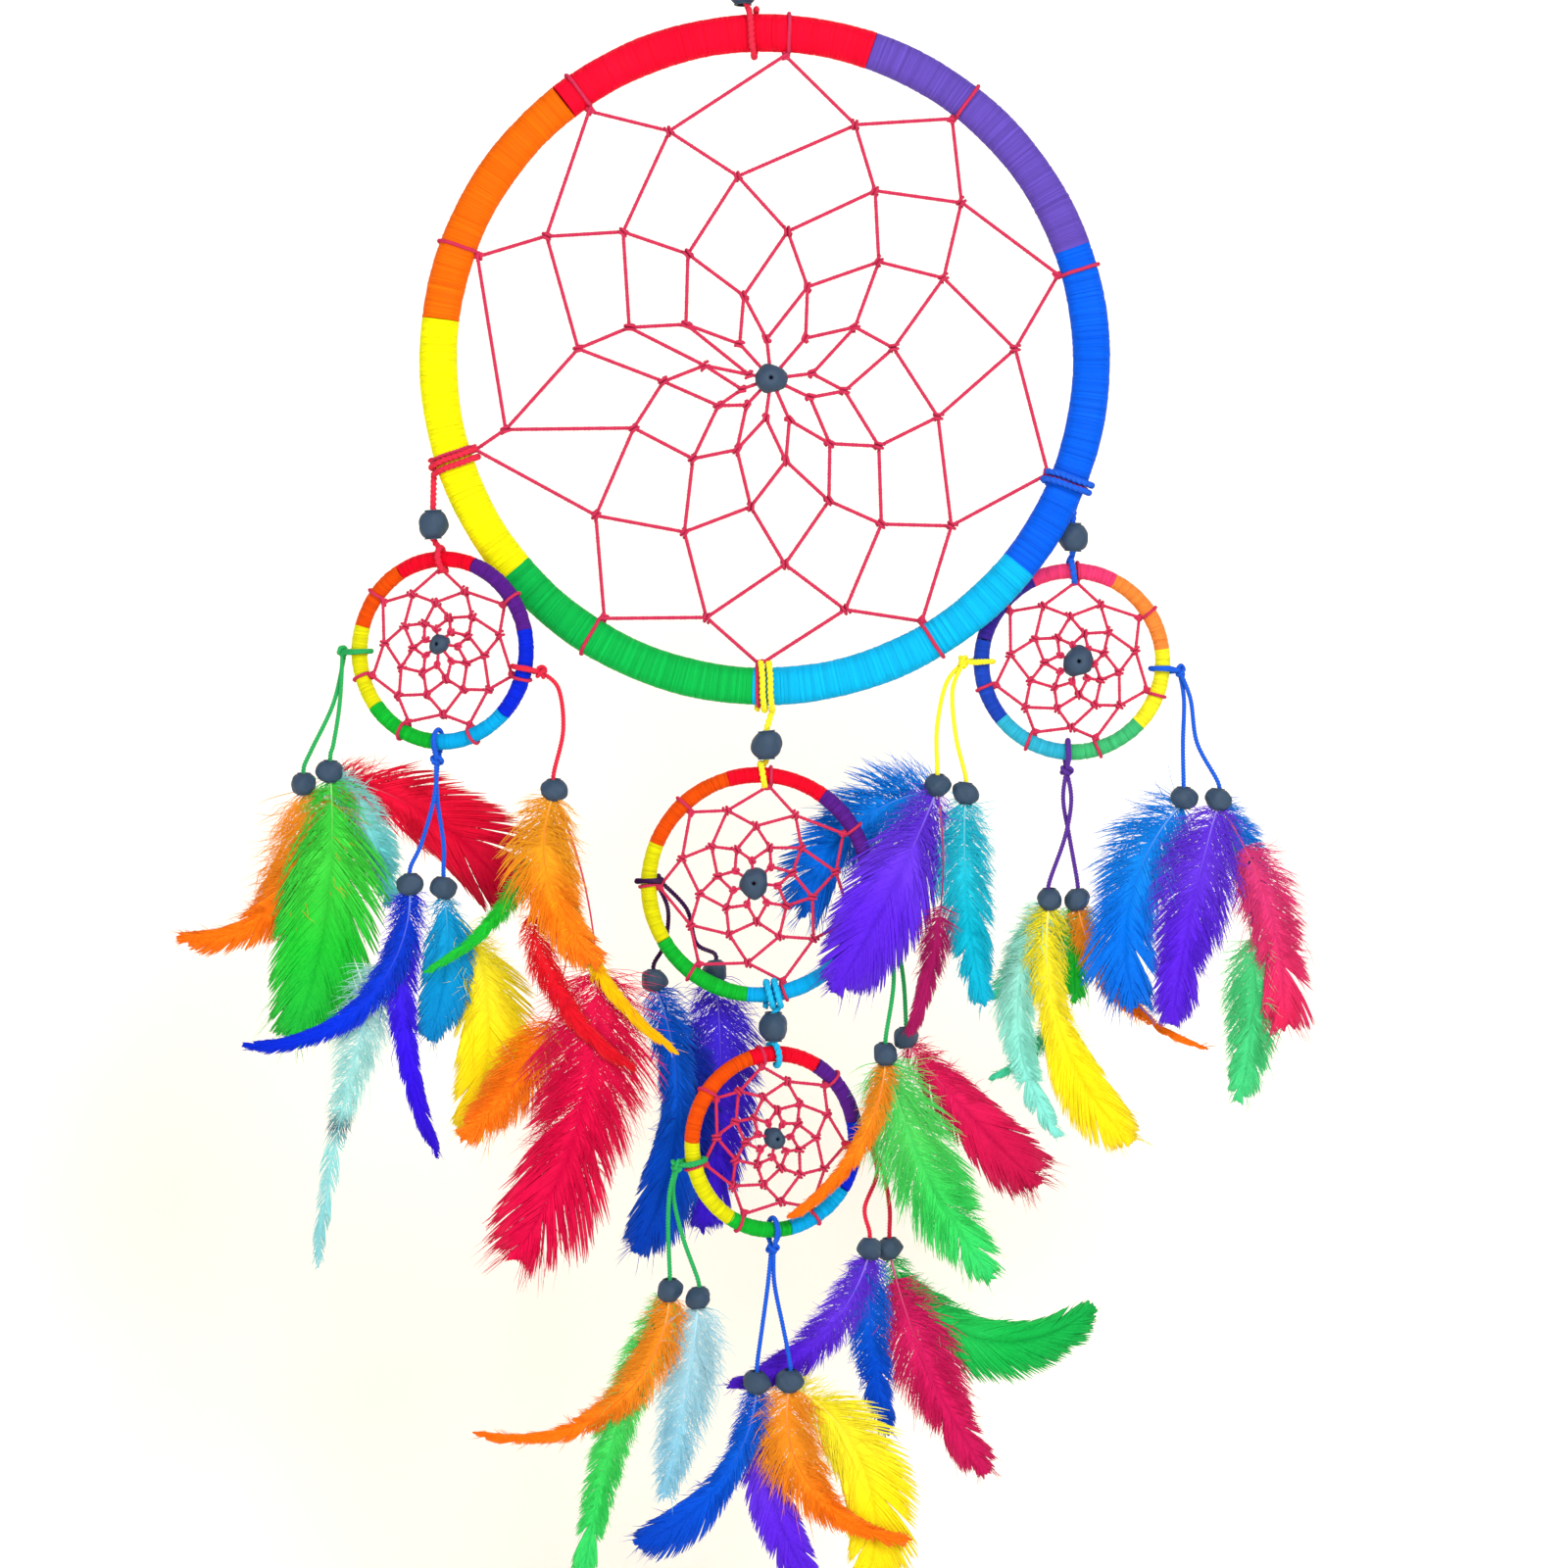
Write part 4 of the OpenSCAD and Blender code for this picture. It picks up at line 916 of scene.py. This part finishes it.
def feather_heap(f, bead, sizes, seed):
    """A feather: its shaft, the barbs of its vane in clumps that part a little, and hairs of down and stray barbs
    that stand past them, each set on both sides."""
    rng = np.random.default_rng(seed)
    make = MAKES[f[8]]
    length, width, bare = f[1], f[4], f[9]
    foot = np.array([bead[0], 0, bead[2] - BEAD_H * 0.2])

    def at(t):
        depth = bead[1] + f[5] + (f[6] - bead[1] - f[5]) * ease(t / 0.3)
        return foot + depth[..., None] * Y

    heap = Heap()
    grow = min(1.0, 0.5 + length / 160)
    t = np.linspace(0, 0.965, 34)
    point, down, across = spine(f, t)
    r = sizes.shaft_d / MM / 2 * grow * ((1 - t) ** 1.2 * 0.8 + 0.14)
    sides = 2 * np.pi * np.arange(8) / 8
    centre = at(t) + point + 0.05 * Y
    tube = centre[:, None] + (r[:, None] * np.cos(sides))[..., None] * across[:, None] - (
        r[:, None] * np.sin(sides))[..., None] * Y
    heap.add(tube[:, ::-1], np.stack([t[:, None] + 0 * sides, 0 * t[:, None] + sides], -1), 0.5, 1)

    # The vane
    first = bare + (1 - bare) * 0.1
    count = int(length * (0.995 - first) * make["close"])
    for side in (-1.0, 1.0):
        t = np.linspace(first, 0.995, count) + rng.normal(0, 0.0015, count)
        clumps = np.sort(rng.uniform(first, 1.0, max(3, int(length * (1 - first) / 8))))
        which = np.searchsorted(clumps, t)
        bounds = np.concatenate([[first], clumps, [1.0]])
        middle = (bounds[which] + bounds[which + 1]) / 2
        share = (t - bare) / (1 - bare)
        soft = np.clip((make["down"] - share) / make["down"], 0, 1)
        angle = make["angles"][0] + (make["angles"][1] - make["angles"][0]) * share
        angle = angle + rng.normal(0, make["split"] * 2.5, len(bounds))[which]
        angle = angle + rng.normal(0, make["stray"] * 0.5, count)
        angle = np.radians(np.clip(angle, 8, 85))
        curl = 0.3 + rng.normal(0, 0.04, count)
        reach = barb_reach(t, angle * 0.85, length, width, make, bare)
        reach = reach * (1 + rng.normal(0, 0.02 + 0.008 * make["stray"], count))
        reach = reach * (1 + 0.2 * soft * rng.uniform(-1, 1, count))
        drift = (middle - t) * length * 0.4 * min(1.0, make["split"]) * (1 - 0.5 * soft)
        lift = rng.normal(0, 0.1, count) + rng.normal(0, 0.3 * make["split"], len(bounds))[which]
        lift = lift + soft * rng.normal(0, 0.7, count)
        w0 = make["wide"] * sizes.barb_w / MM * (1 - 0.6 * soft) * np.clip(0.55 + width / 36, 0.6, 1.1)
        shades = np.clip(rng.normal(0.35, 0.12, count) + rng.normal(0, 0.14, len(bounds))[which], 0, 1)
        wave = np.radians(soft * rng.normal(0, 9, count))
        sides, reach = np.full(count, side), np.maximum(reach, 0.6)
        add_barbs(heap, f, at, t, sides, reach, angle, curl, wave, lift, w0, drift, shades)

    # Down and stray hairs
    span = (1 - bare) * make["down"]
    count = int(length * span * make["hairs"]) + 30
    strays = int(length * 2.2 * (1 - bare))
    t = np.concatenate([bare + 0.01 + span * rng.uniform(0, 1.1, count) ** 1.15, rng.uniform(bare + 0.1, 0.97, strays)])
    total = count + strays
    fluff = np.arange(total) < count
    share = (t - bare) / (1 - bare)
    side = np.where(rng.uniform(size=total) < 0.5, -1.0, 1.0)
    angle = np.radians(np.where(fluff, rng.normal(66, 17, total), rng.normal(38, 9, total)))
    wide = width / 2 * outline(np.clip(share + 0.08, 0.02, 0.97), make)
    beyond = np.where(fluff, rng.uniform(-0.4, 1.2, total), rng.uniform(-0.2, 0.7, total)) * make["past"]
    reach = np.clip((wide * rng.uniform(0.6, 1.05, total) + beyond) / np.sin(np.clip(angle, 0.45, 1.5)), 1.5, None)
    reach = np.minimum(reach, (1.03 - t) * length + 5)
    lift = rng.normal(0, np.where(fluff, 1.3, 0.4), total)
    curl = rng.normal(0.4, 0.25, total)
    wave = np.radians(rng.normal(0, np.where(fluff, 13, 5), total))
    w0 = sizes.hair_w / MM * rng.uniform(0.7, 1.3, total)
    add_barbs(heap, f, at, t, side, reach, angle, curl, wave, lift, w0, rng.normal(0, 0.8, total),
              np.clip(rng.normal(0.25, 0.15, total), 0, 1), 5)
    return heap


# ---- operators ----


class StageOperator(bpy.types.Operator):
    """Makes the camera, the soft lights and the plain backdrop"""

    bl_idname = "dream_catcher.stage"
    bl_label = "Stage"

    def execute(self, context):
        scene = context.scene
        lens = bpy.data.cameras.new("front_camera")
        lens.sensor_width, lens.lens = 36.0, 100.0
        lens.dof.use_dof = False
        camera = bpy.data.objects.new("front_camera", lens)
        # The lens sees this width at the object, and stands level with the view's middle
        seen_width, middle_x, middle_z = 0.4992, 0.0061, -0.3111
        camera.location = (middle_x, -seen_width * lens.lens / lens.sensor_width, middle_z)
        camera.rotation_euler = (math.pi / 2, 0, 0)
        scene.collection.objects.link(camera)
        scene.camera = camera
        scene.view_settings.view_transform = "Standard"
        scene.view_settings.look = "None"

        world = bpy.data.worlds.new("soft_room")
        world.use_nodes = True
        world.node_tree.nodes["Background"].inputs[0].default_value = (1.0, 0.965, 0.91, 1)
        world.node_tree.nodes["Background"].inputs[1].default_value = 0.36
        scene.world = world
        for name, place, aim, power, wide, tint in (
            ("key_light", (0.7, -1.5, 0.5), (0, 0, -0.3), 25, 0.8, (1, 1, 1)),
            ("fill_light", (-1.0, -1.3, -0.2), (0, 0, -0.3), 10, 1.2, (1, 0.97, 0.92)),
            ("rim_light", (0.2, 1.0, 0.6), (0, 0, -0.3), 8, 1.0, (1, 1, 1)),
        ):
            data = bpy.data.lights.new(name, "AREA")
            data.energy, data.size, data.color = power, wide, tint
            light = bpy.data.objects.new(name, data)
            from_to = np.array(aim) - np.array(place)
            light.location = place
            flat = math.hypot(from_to[0], from_to[1])
            light.rotation_euler = (math.pi / 2 + math.atan2(from_to[2], flat), 0, math.atan2(-from_to[0], from_to[1]))
            scene.collection.objects.link(light)

        # A wall that bends into a floor: a straight drop, a quarter circle and a straight run forward
        bend = np.radians(np.linspace(0, 90, 17))
        wall, floor, r = 205.0, -700.0, 180.0
        line = np.vstack([
            np.stack([np.full(5, wall), np.linspace(900, floor + r + 1, 5)], -1),
            np.stack([wall - r + r * np.cos(bend), floor + r - r * np.sin(bend)], -1),
            np.stack([np.linspace(wall - r - 1, -1600, 5), np.full(5, floor)], -1)])
        x = np.linspace(-1500, 1500, 9)
        surface = np.stack([x[:, None] + 0 * line[None, :, 0], line[None, :, 0] + 0 * x[:, None],
                            line[None, :, 1] + 0 * x[:, None]], -1)
        heap = Heap()
        heap.add(surface, np.zeros((1, 1, 1, 2)), ring=False)
        f = Finish("pale_wall", Specular_IOR_Level=0.1, Emission_Color=(1, 0.95, 0.86, 1), Emission_Strength=0.12)
        patch = f.noise(f.place(), 1.2, 2.0)
        f.finish(f.mix(patch, (0.93, 0.895, 0.82), (0.95, 0.925, 0.87)), f.spread(patch, 0.3, 0.7, 0.85, 0.95))
        clear = f.tree.nodes.new("ShaderNodeBsdfTransparent")
        face = f.add("ShaderNodeNewGeometry", {}, {}, 6)
        both = f.add("ShaderNodeMixShader", {}, {0: face, 1: Sum(f, f.surface.outputs[0]), 2: Sum(f, clear.outputs[0])})
        f.tree.links.new(both.socket, f.tree.nodes["Material Output"].inputs["Surface"])
        mesh = bpy.data.meshes.new("backdrop")
        corners = np.concatenate(heap.corners).reshape(-1, 4)
        mesh.from_pydata((np.vstack(heap.points) * MM).tolist(), [], corners.tolist())
        mesh.polygons.foreach_set("use_smooth", np.full(len(mesh.polygons), True))
        mesh.materials.append(f.material)
        backdrop = bpy.data.objects.new("backdrop", mesh)
        scene.collection.objects.link(backdrop)
        return {"FINISHED"}


class HangingLoopOperator(bpy.types.Operator):
    """Makes the loop that the dream catcher hangs by, and the tie below its bead"""

    bl_idname = "dream_catcher.hanging_loop"
    bl_label = "Hanging loop"

    def execute(self, context):
        sizes, _ = settings()
        d = sizes.sling_d / MM
        red = stock(laid_fibre, "red_cord", dye(*CORDS["red"]))
        path = spaced(smoothed(LOOP_ROUTE, 12), 0.4)
        heap = Heap()
        add_cord(heap, path, d, SLING_LAY)
        loop = heap.make("hanging_loop_cord", [red], "loop", "hanging_loop")
        out = clock(1, TOP_TIE_AT)
        wound = turns(main_at(TOP_TIE_AT), out, Y, MAIN_HALF_W, MAIN_HALF_T, TIE_GAP + d / 2, -10, -370, 40, d + 0.3)
        heap = Heap()
        add_cord(heap, spaced(np.vstack([[TOP_BEAD - UP], wound]), SLING_STEP), d, SLING_LAY)
        tie = heap.make("top_tie_cord", [red], "top_bead", "top_tie")
        return {"FINISHED"}


class TasselCordsOperator(bpy.types.Operator):
    """Makes each tassel's cord: its strands down to the beads, and its hitch round the rim with a knot"""

    bl_idname = "dream_catcher.tassel_cords"
    bl_label = "Tassel cords"

    def execute(self, context):
        sizes, _ = settings()
        d = sizes.cord_d / MM
        for name, (hoop, tie, side, colour, strands, _) in TASSELS.items():
            h = HOOPS[hoop]
            body = f"{name}_tassel"
            finish = stock(laid_fibre, f"{colour}_cord", dye(*CORDS[colour]))
            out = side * rim_out(h, tie)
            at = rim_at(h, tie)
            back = spun(Y, h["turn"])
            turned = KNOT_TURNED.get(name, 0)
            c, s = math.cos(math.radians(turned)), math.sin(math.radians(turned))
            away, apart = c * out + s * back, c * back - s * out
            knot = at + REACH * away
            for i, strand in enumerate(strands):
                last = np.array(strand[-1], float)
                route = [knot + HALF_APART * (1 - 2 * i) * apart, *[np.array(p, float) for p in strand[:-1]],
                         last + [0, 0, BEAD_H / 2 + 2], last + [0, 0, 0.8]]
                path = spaced(smoothed(route, 12), STRAND_STEP)
                heap = Heap()
                add_cord(heap, path, d, CORD_LAY)
                piece = heap.make(f"{name}_strand_{i + 1}", [finish], body, f"{name}_cord")
            heap = Heap()
            ring = turns(at, out, back, RIM_R, RIM_R, TIE_GAP + d / 2, turned + 52, turned + 308, 30, 0)
            ends = np.vstack([knot + HALF_APART * apart, ring, knot - HALF_APART * apart])
            add_cord(heap, spaced(ends, HITCH_STEP), d, CORD_LAY)
            ring = turns(at, out, back, RIM_R, RIM_R, TIE_GAP + d / 2 + 0.1, turned + 60, turned + 300, 30, 1.7)
            ends = np.vstack([knot + 0.6 * apart, ring, knot - 0.6 * apart])
            add_cord(heap, spaced(ends, HITCH_STEP), d, CORD_LAY)
            # The knot: a cord wound three times through a ring as it goes twice round it
            a = np.linspace(0, 2 * np.pi, 90)[:, None]
            along = unit(np.cross(out, back))
            round_r = 1.15 + 0.62 * np.cos(3 * a)
            ball = knot + round_r * np.cos(2 * a) * along + round_r * np.sin(2 * a) * apart
            ball = ball + (0.4 + 0.95 * np.sin(3 * a)) * away
            add_cord(heap, spaced(ball, STRAND_STEP), d * 0.9, KNOT_LAY)
            piece = heap.make(f"{name}_hitch", [finish], body, f"{name}_cord")
        return {"FINISHED"}


class SlingsOperator(bpy.types.Operator):
    """Makes the cords that carry the four small hoops, each wound round the hoop above and tied to the hoop below"""

    bl_idname = "dream_catcher.slings"
    bl_label = "Slings"

    def execute(self, context):
        sizes, _ = settings()
        d = sizes.sling_d / MM
        middle = HOOPS["middle"]
        flat, round_rim = (MAIN_HALF_W, MAIN_HALF_T), (RIM_R, RIM_R)
        for hoop, colour, place, out, half, leave, drop, below in (
            ("left", "red", main_at(LEFT_TIE_AT), clock(1, LEFT_TIE_AT), flat, 360, 4.5, 0),
            ("right", "blue", main_at(RIGHT_TIE_AT), clock(1, RIGHT_TIE_AT), flat, 450, 4.5, 0),
            ("middle", "yellow", main_at(MIDDLE_TIE_AT), clock(1, MIDDLE_TIE_AT), flat, 360, 4.5, 2),
            ("lower", "cyan", rim_at(middle, LOWER_TIE_AT), rim_out(middle, LOWER_TIE_AT), round_rim, 360, 4, 0),
        ):
            h = HOOPS[hoop]
            bead = np.array(h["sling_bead"], float)
            top = turns(place, out, Y, *half, TIE_GAP + d / 2, leave - 700, leave, 72, d + 0.3)
            back = spun(Y, h["turn"])
            low = turns(rim_at(h, below), UP, back, RIM_R, RIM_R, d / 2 + TIGHT, 60, -200, 30, d + 0.6)
            hang = smoothed([top[-1], bead + [0, 0, drop], bead, bead - [0, 0, drop], low[0]], 8)
            heap = Heap()
            add_cord(heap, spaced(np.vstack([top, hang, low]), SLING_STEP), d, SLING_LAY)
            finish = stock(laid_fibre, f"{colour}_cord", dye(*CORDS[colour]))
            piece = heap.make(f"{hoop}_sling_cord", [finish], f"{hoop}_hoop", f"{hoop}_sling")
        return {"FINISHED"}


class RingsOperator(bpy.types.Operator):
    """Gives the metal rings inside the hoops their finish"""

    bl_idname = "dream_catcher.rings"
    bl_label = "Rings"

    def execute(self, context):
        metal = stock(ring_metal, "ring_metal")
        for hoop in ("main", *HOOPS):
            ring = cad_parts[f"{hoop}_hoop_core"]
            for slot in ring.material_slots:
                slot.material = metal
            if not ring.material_slots:
                ring.data.materials.append(metal)
        return {"FINISHED"}


class WindingsOperator(bpy.types.Operator):
    """Makes the coloured thread wound round each hoop, a piece to a colour"""

    bl_idname = "dream_catcher.windings"
    bl_label = "Windings"

    def execute(self, context):
        sizes, colours = settings()
        for i, colour in enumerate(MAIN_COLOURS):
            start = MAIN_SEAMS[i]
            end = MAIN_SEAMS[i + 1] if i < 6 else MAIN_SEAMS[0] + 360
            pitch = sizes.main_pitch / MM
            surface, lay = winding(MAIN_R, MAIN_HALF_W, MAIN_HALF_T, MAIN_RING, start, end, pitch, 18, i)
            heap = Heap()
            heap.add(surface + MAIN_C, lay, lap=True)
            thread = stock(wound_thread, f"main_{colour}_thread", tuple(getattr(colours, colour)))
            piece = heap.make(f"main_hoop_{colour}_winding", [thread], "main_hoop", "main_hoop_wraps")
        for k, (hoop, h) in enumerate(HOOPS.items()):
            table = DEEP if h["family"] == "deep" else PALE
            for i, colour in enumerate(h["colours"]):
                start = h["seams"][i]
                end = h["seams"][i + 1] if i < 6 else h["seams"][0] + 360
                pitch, seed = sizes.small_pitch / MM, 100 + 10 * k + i
                surface, lay = winding(hoop_r(h), RIM_R, RIM_R, SMALL_RING, start, end, pitch, 14, seed)
                heap = Heap()
                heap.add(spun(surface, h["turn"]) + np.array(h["centre"], float), lay, lap=True)
                thread = stock(wound_thread, f"{h['family']}_{colour}_thread", dye(*table[colour]))
                piece = heap.make(f"{hoop}_hoop_{colour}_winding", [thread], f"{hoop}_hoop", f"{hoop}_hoop_wraps")
        return {"FINISHED"}


class WebsOperator(bpy.types.Operator):
    """Makes the five knotted webs"""

    bl_idname = "dream_catcher.webs"
    bl_label = "Webs"

    def execute(self, context):
        sizes, colours = settings()
        d = sizes.web_d / MM
        thread = stock(web_thread, "crimson_thread", tuple(colours.web))
        knots = [clock(MAIN_R - MAIN_HALF_W, MAIN_ANCHORS)]
        knots += [np.stack([row[:, 0], 0 * row[:, 0], row[:, 1]], -1) for row in MAIN_KNOTS]
        heap = web_heap(MAIN_R, MAIN_HALF_W, MAIN_HALF_T, MAIN_ANCHORS, knots, MAIN_EYE, d, 7)
        heap.points = [p + MAIN_C for p in heap.points]
        heap.make("main_web_thread", [thread], "main_hoop", "main_web")
        for k, (hoop, h) in enumerate(HOOPS.items()):
            knots = web_rows(h["anchors"], hoop_r(h) - RIM_R, np.array(h["eye"], float), 4)
            heap = web_heap(hoop_r(h), RIM_R, RIM_R, h["anchors"], knots, np.array(h["eye"], float), d * 0.88, 20 + k)
            heap.points = [spun(p, h["turn"]) + np.array(h["centre"], float) for p in heap.points]
            piece = heap.make(f"{hoop}_web_thread", [thread], f"{hoop}_hoop", f"{hoop}_web")
        return {"FINISHED"}


class BeadsOperator(bpy.types.Operator):
    """Makes the carved wooden beads of the webs, the slings and the tassels"""

    bl_idname = "dream_catcher.beads"
    bl_label = "Beads"

    def one(self, name, surface, body, node):
        _, colours = settings()
        wood = stock(painted_wood, "dark_wood", tuple(colours.bead_dark), tuple(colours.bead_light))
        heap = Heap()
        heap.add(surface, lap=True)
        heap.make(name, [wood], body, node)

    def execute(self, context):
        sizes, _ = settings()
        dents = sizes.dents
        hanging = bead_surface(SLING_BEAD_D, SLING_BEAD_H, SLING_BORE, dents, 1)
        self.one("top_hanging_bead", hanging + TOP_BEAD, "top_bead", "top_bead")

        def facing(d, h, seed):
            p = bead_surface(d, h * 0.9, 1.0, dents, seed)
            return np.stack([p[..., 0], -p[..., 2], p[..., 1]], -1)

        self.one("main_web_centre_bead", facing(*MAIN_BEAD, 2) + MAIN_C + MAIN_EYE, "main_hoop", "main_web_bead")
        for k, (hoop, h) in enumerate(HOOPS.items()):
            centre = np.array(h["centre"], float)
            eye = spun(np.array(h["eye"], float), h["turn"])
            self.one(f"{hoop}_web_centre_bead", spun(facing(*h["bead"], 3 + k), h["turn"]) + centre + eye,
                     f"{hoop}_hoop", f"{hoop}_beads")
            sling = bead_surface(SLING_BEAD_D, SLING_BEAD_H, SLING_BORE, dents, 10 + k)
            self.one(f"{hoop}_sling_bead", sling + np.array(h["sling_bead"], float), f"{hoop}_hoop", f"{hoop}_beads")
        seed = 30
        for name, tassel in TASSELS.items():
            for i, strand in enumerate(tassel[4]):
                seed += 1
                surface = bead_surface(BEAD_D, BEAD_H, BEAD_BORE, dents * 1.3, seed)
                node = f"{name}_bead" if len(tassel[4]) == 1 else f"{name}_beads"
                self.one(f"{name}_carved_bead_{i + 1}", surface + np.array(strand[-1], float), f"{name}_tassel", node)
        return {"FINISHED"}


class FeathersOperator(bpy.types.Operator):
    """Makes every feather: shaft, vane and down"""

    bl_idname = "dream_catcher.feathers"
    bl_label = "Feathers"

    def execute(self, context):
        sizes, _ = settings()
        seed = 500
        for name, tassel in TASSELS.items():
            for i, f in enumerate(tassel[5]):
                seed += 1
                heap = feather_heap(f, tassel[4][f[0]][-1], sizes, seed)
                spot = 0.64 if f[7] == "pale_cyan" else None
                finishes = [stock(feather_dye, f"{f[7]}_barbs", DYES[f[7]], spot),
                            stock(feather_shaft, f"{f[7]}_quill", DYES[f[7]])]
                piece = heap.make(f"{name}_{f[7]}_feather_{i + 1}", finishes, f"{name}_tassel", f"{name}_feathers")
        return {"FINISHED"}


OPERATORS = (
    StageOperator, HangingLoopOperator, TasselCordsOperator, SlingsOperator, RingsOperator, WindingsOperator,
    WebsOperator, BeadsOperator, FeathersOperator,
)


class DreamCatcherPanel(bpy.types.Panel):
    """Sizes, colours and pieces of the dream catcher"""

    bl_idname = "VIEW3D_PT_dream_catcher"
    bl_label = "Dream catcher"
    bl_space_type = "VIEW_3D"
    bl_region_type = "UI"
    bl_category = "Dream catcher"

    def draw(self, context):
        for group in (context.scene.dream_catcher_sizes, context.scene.dream_catcher_colours):
            box = self.layout.box()
            for key in group.__annotations__:
                box.prop(group, key)
        for operator in OPERATORS:
            self.layout.operator(operator.bl_idname)


CLASSES = (DreamCatcherSizes, DreamCatcherColours, *OPERATORS, DreamCatcherPanel)


def register():
    for c in CLASSES:
        bpy.utils.register_class(c)
    bpy.types.Scene.dream_catcher_sizes = bpy.props.PointerProperty(type=DreamCatcherSizes)
    bpy.types.Scene.dream_catcher_colours = bpy.props.PointerProperty(type=DreamCatcherColours)


def unregister():
    del bpy.types.Scene.dream_catcher_colours
    del bpy.types.Scene.dream_catcher_sizes
    for c in reversed(CLASSES):
        bpy.utils.unregister_class(c)


def main():
    """Makes every piece in order."""
    register()
    bpy.ops.dream_catcher.stage()
    bpy.ops.dream_catcher.hanging_loop()
    bpy.ops.dream_catcher.tassel_cords()
    bpy.ops.dream_catcher.slings()
    bpy.ops.dream_catcher.rings()
    bpy.ops.dream_catcher.windings()
    bpy.ops.dream_catcher.webs()
    bpy.ops.dream_catcher.beads()
    bpy.ops.dream_catcher.feathers()


if __name__ == "__main__":
    main()
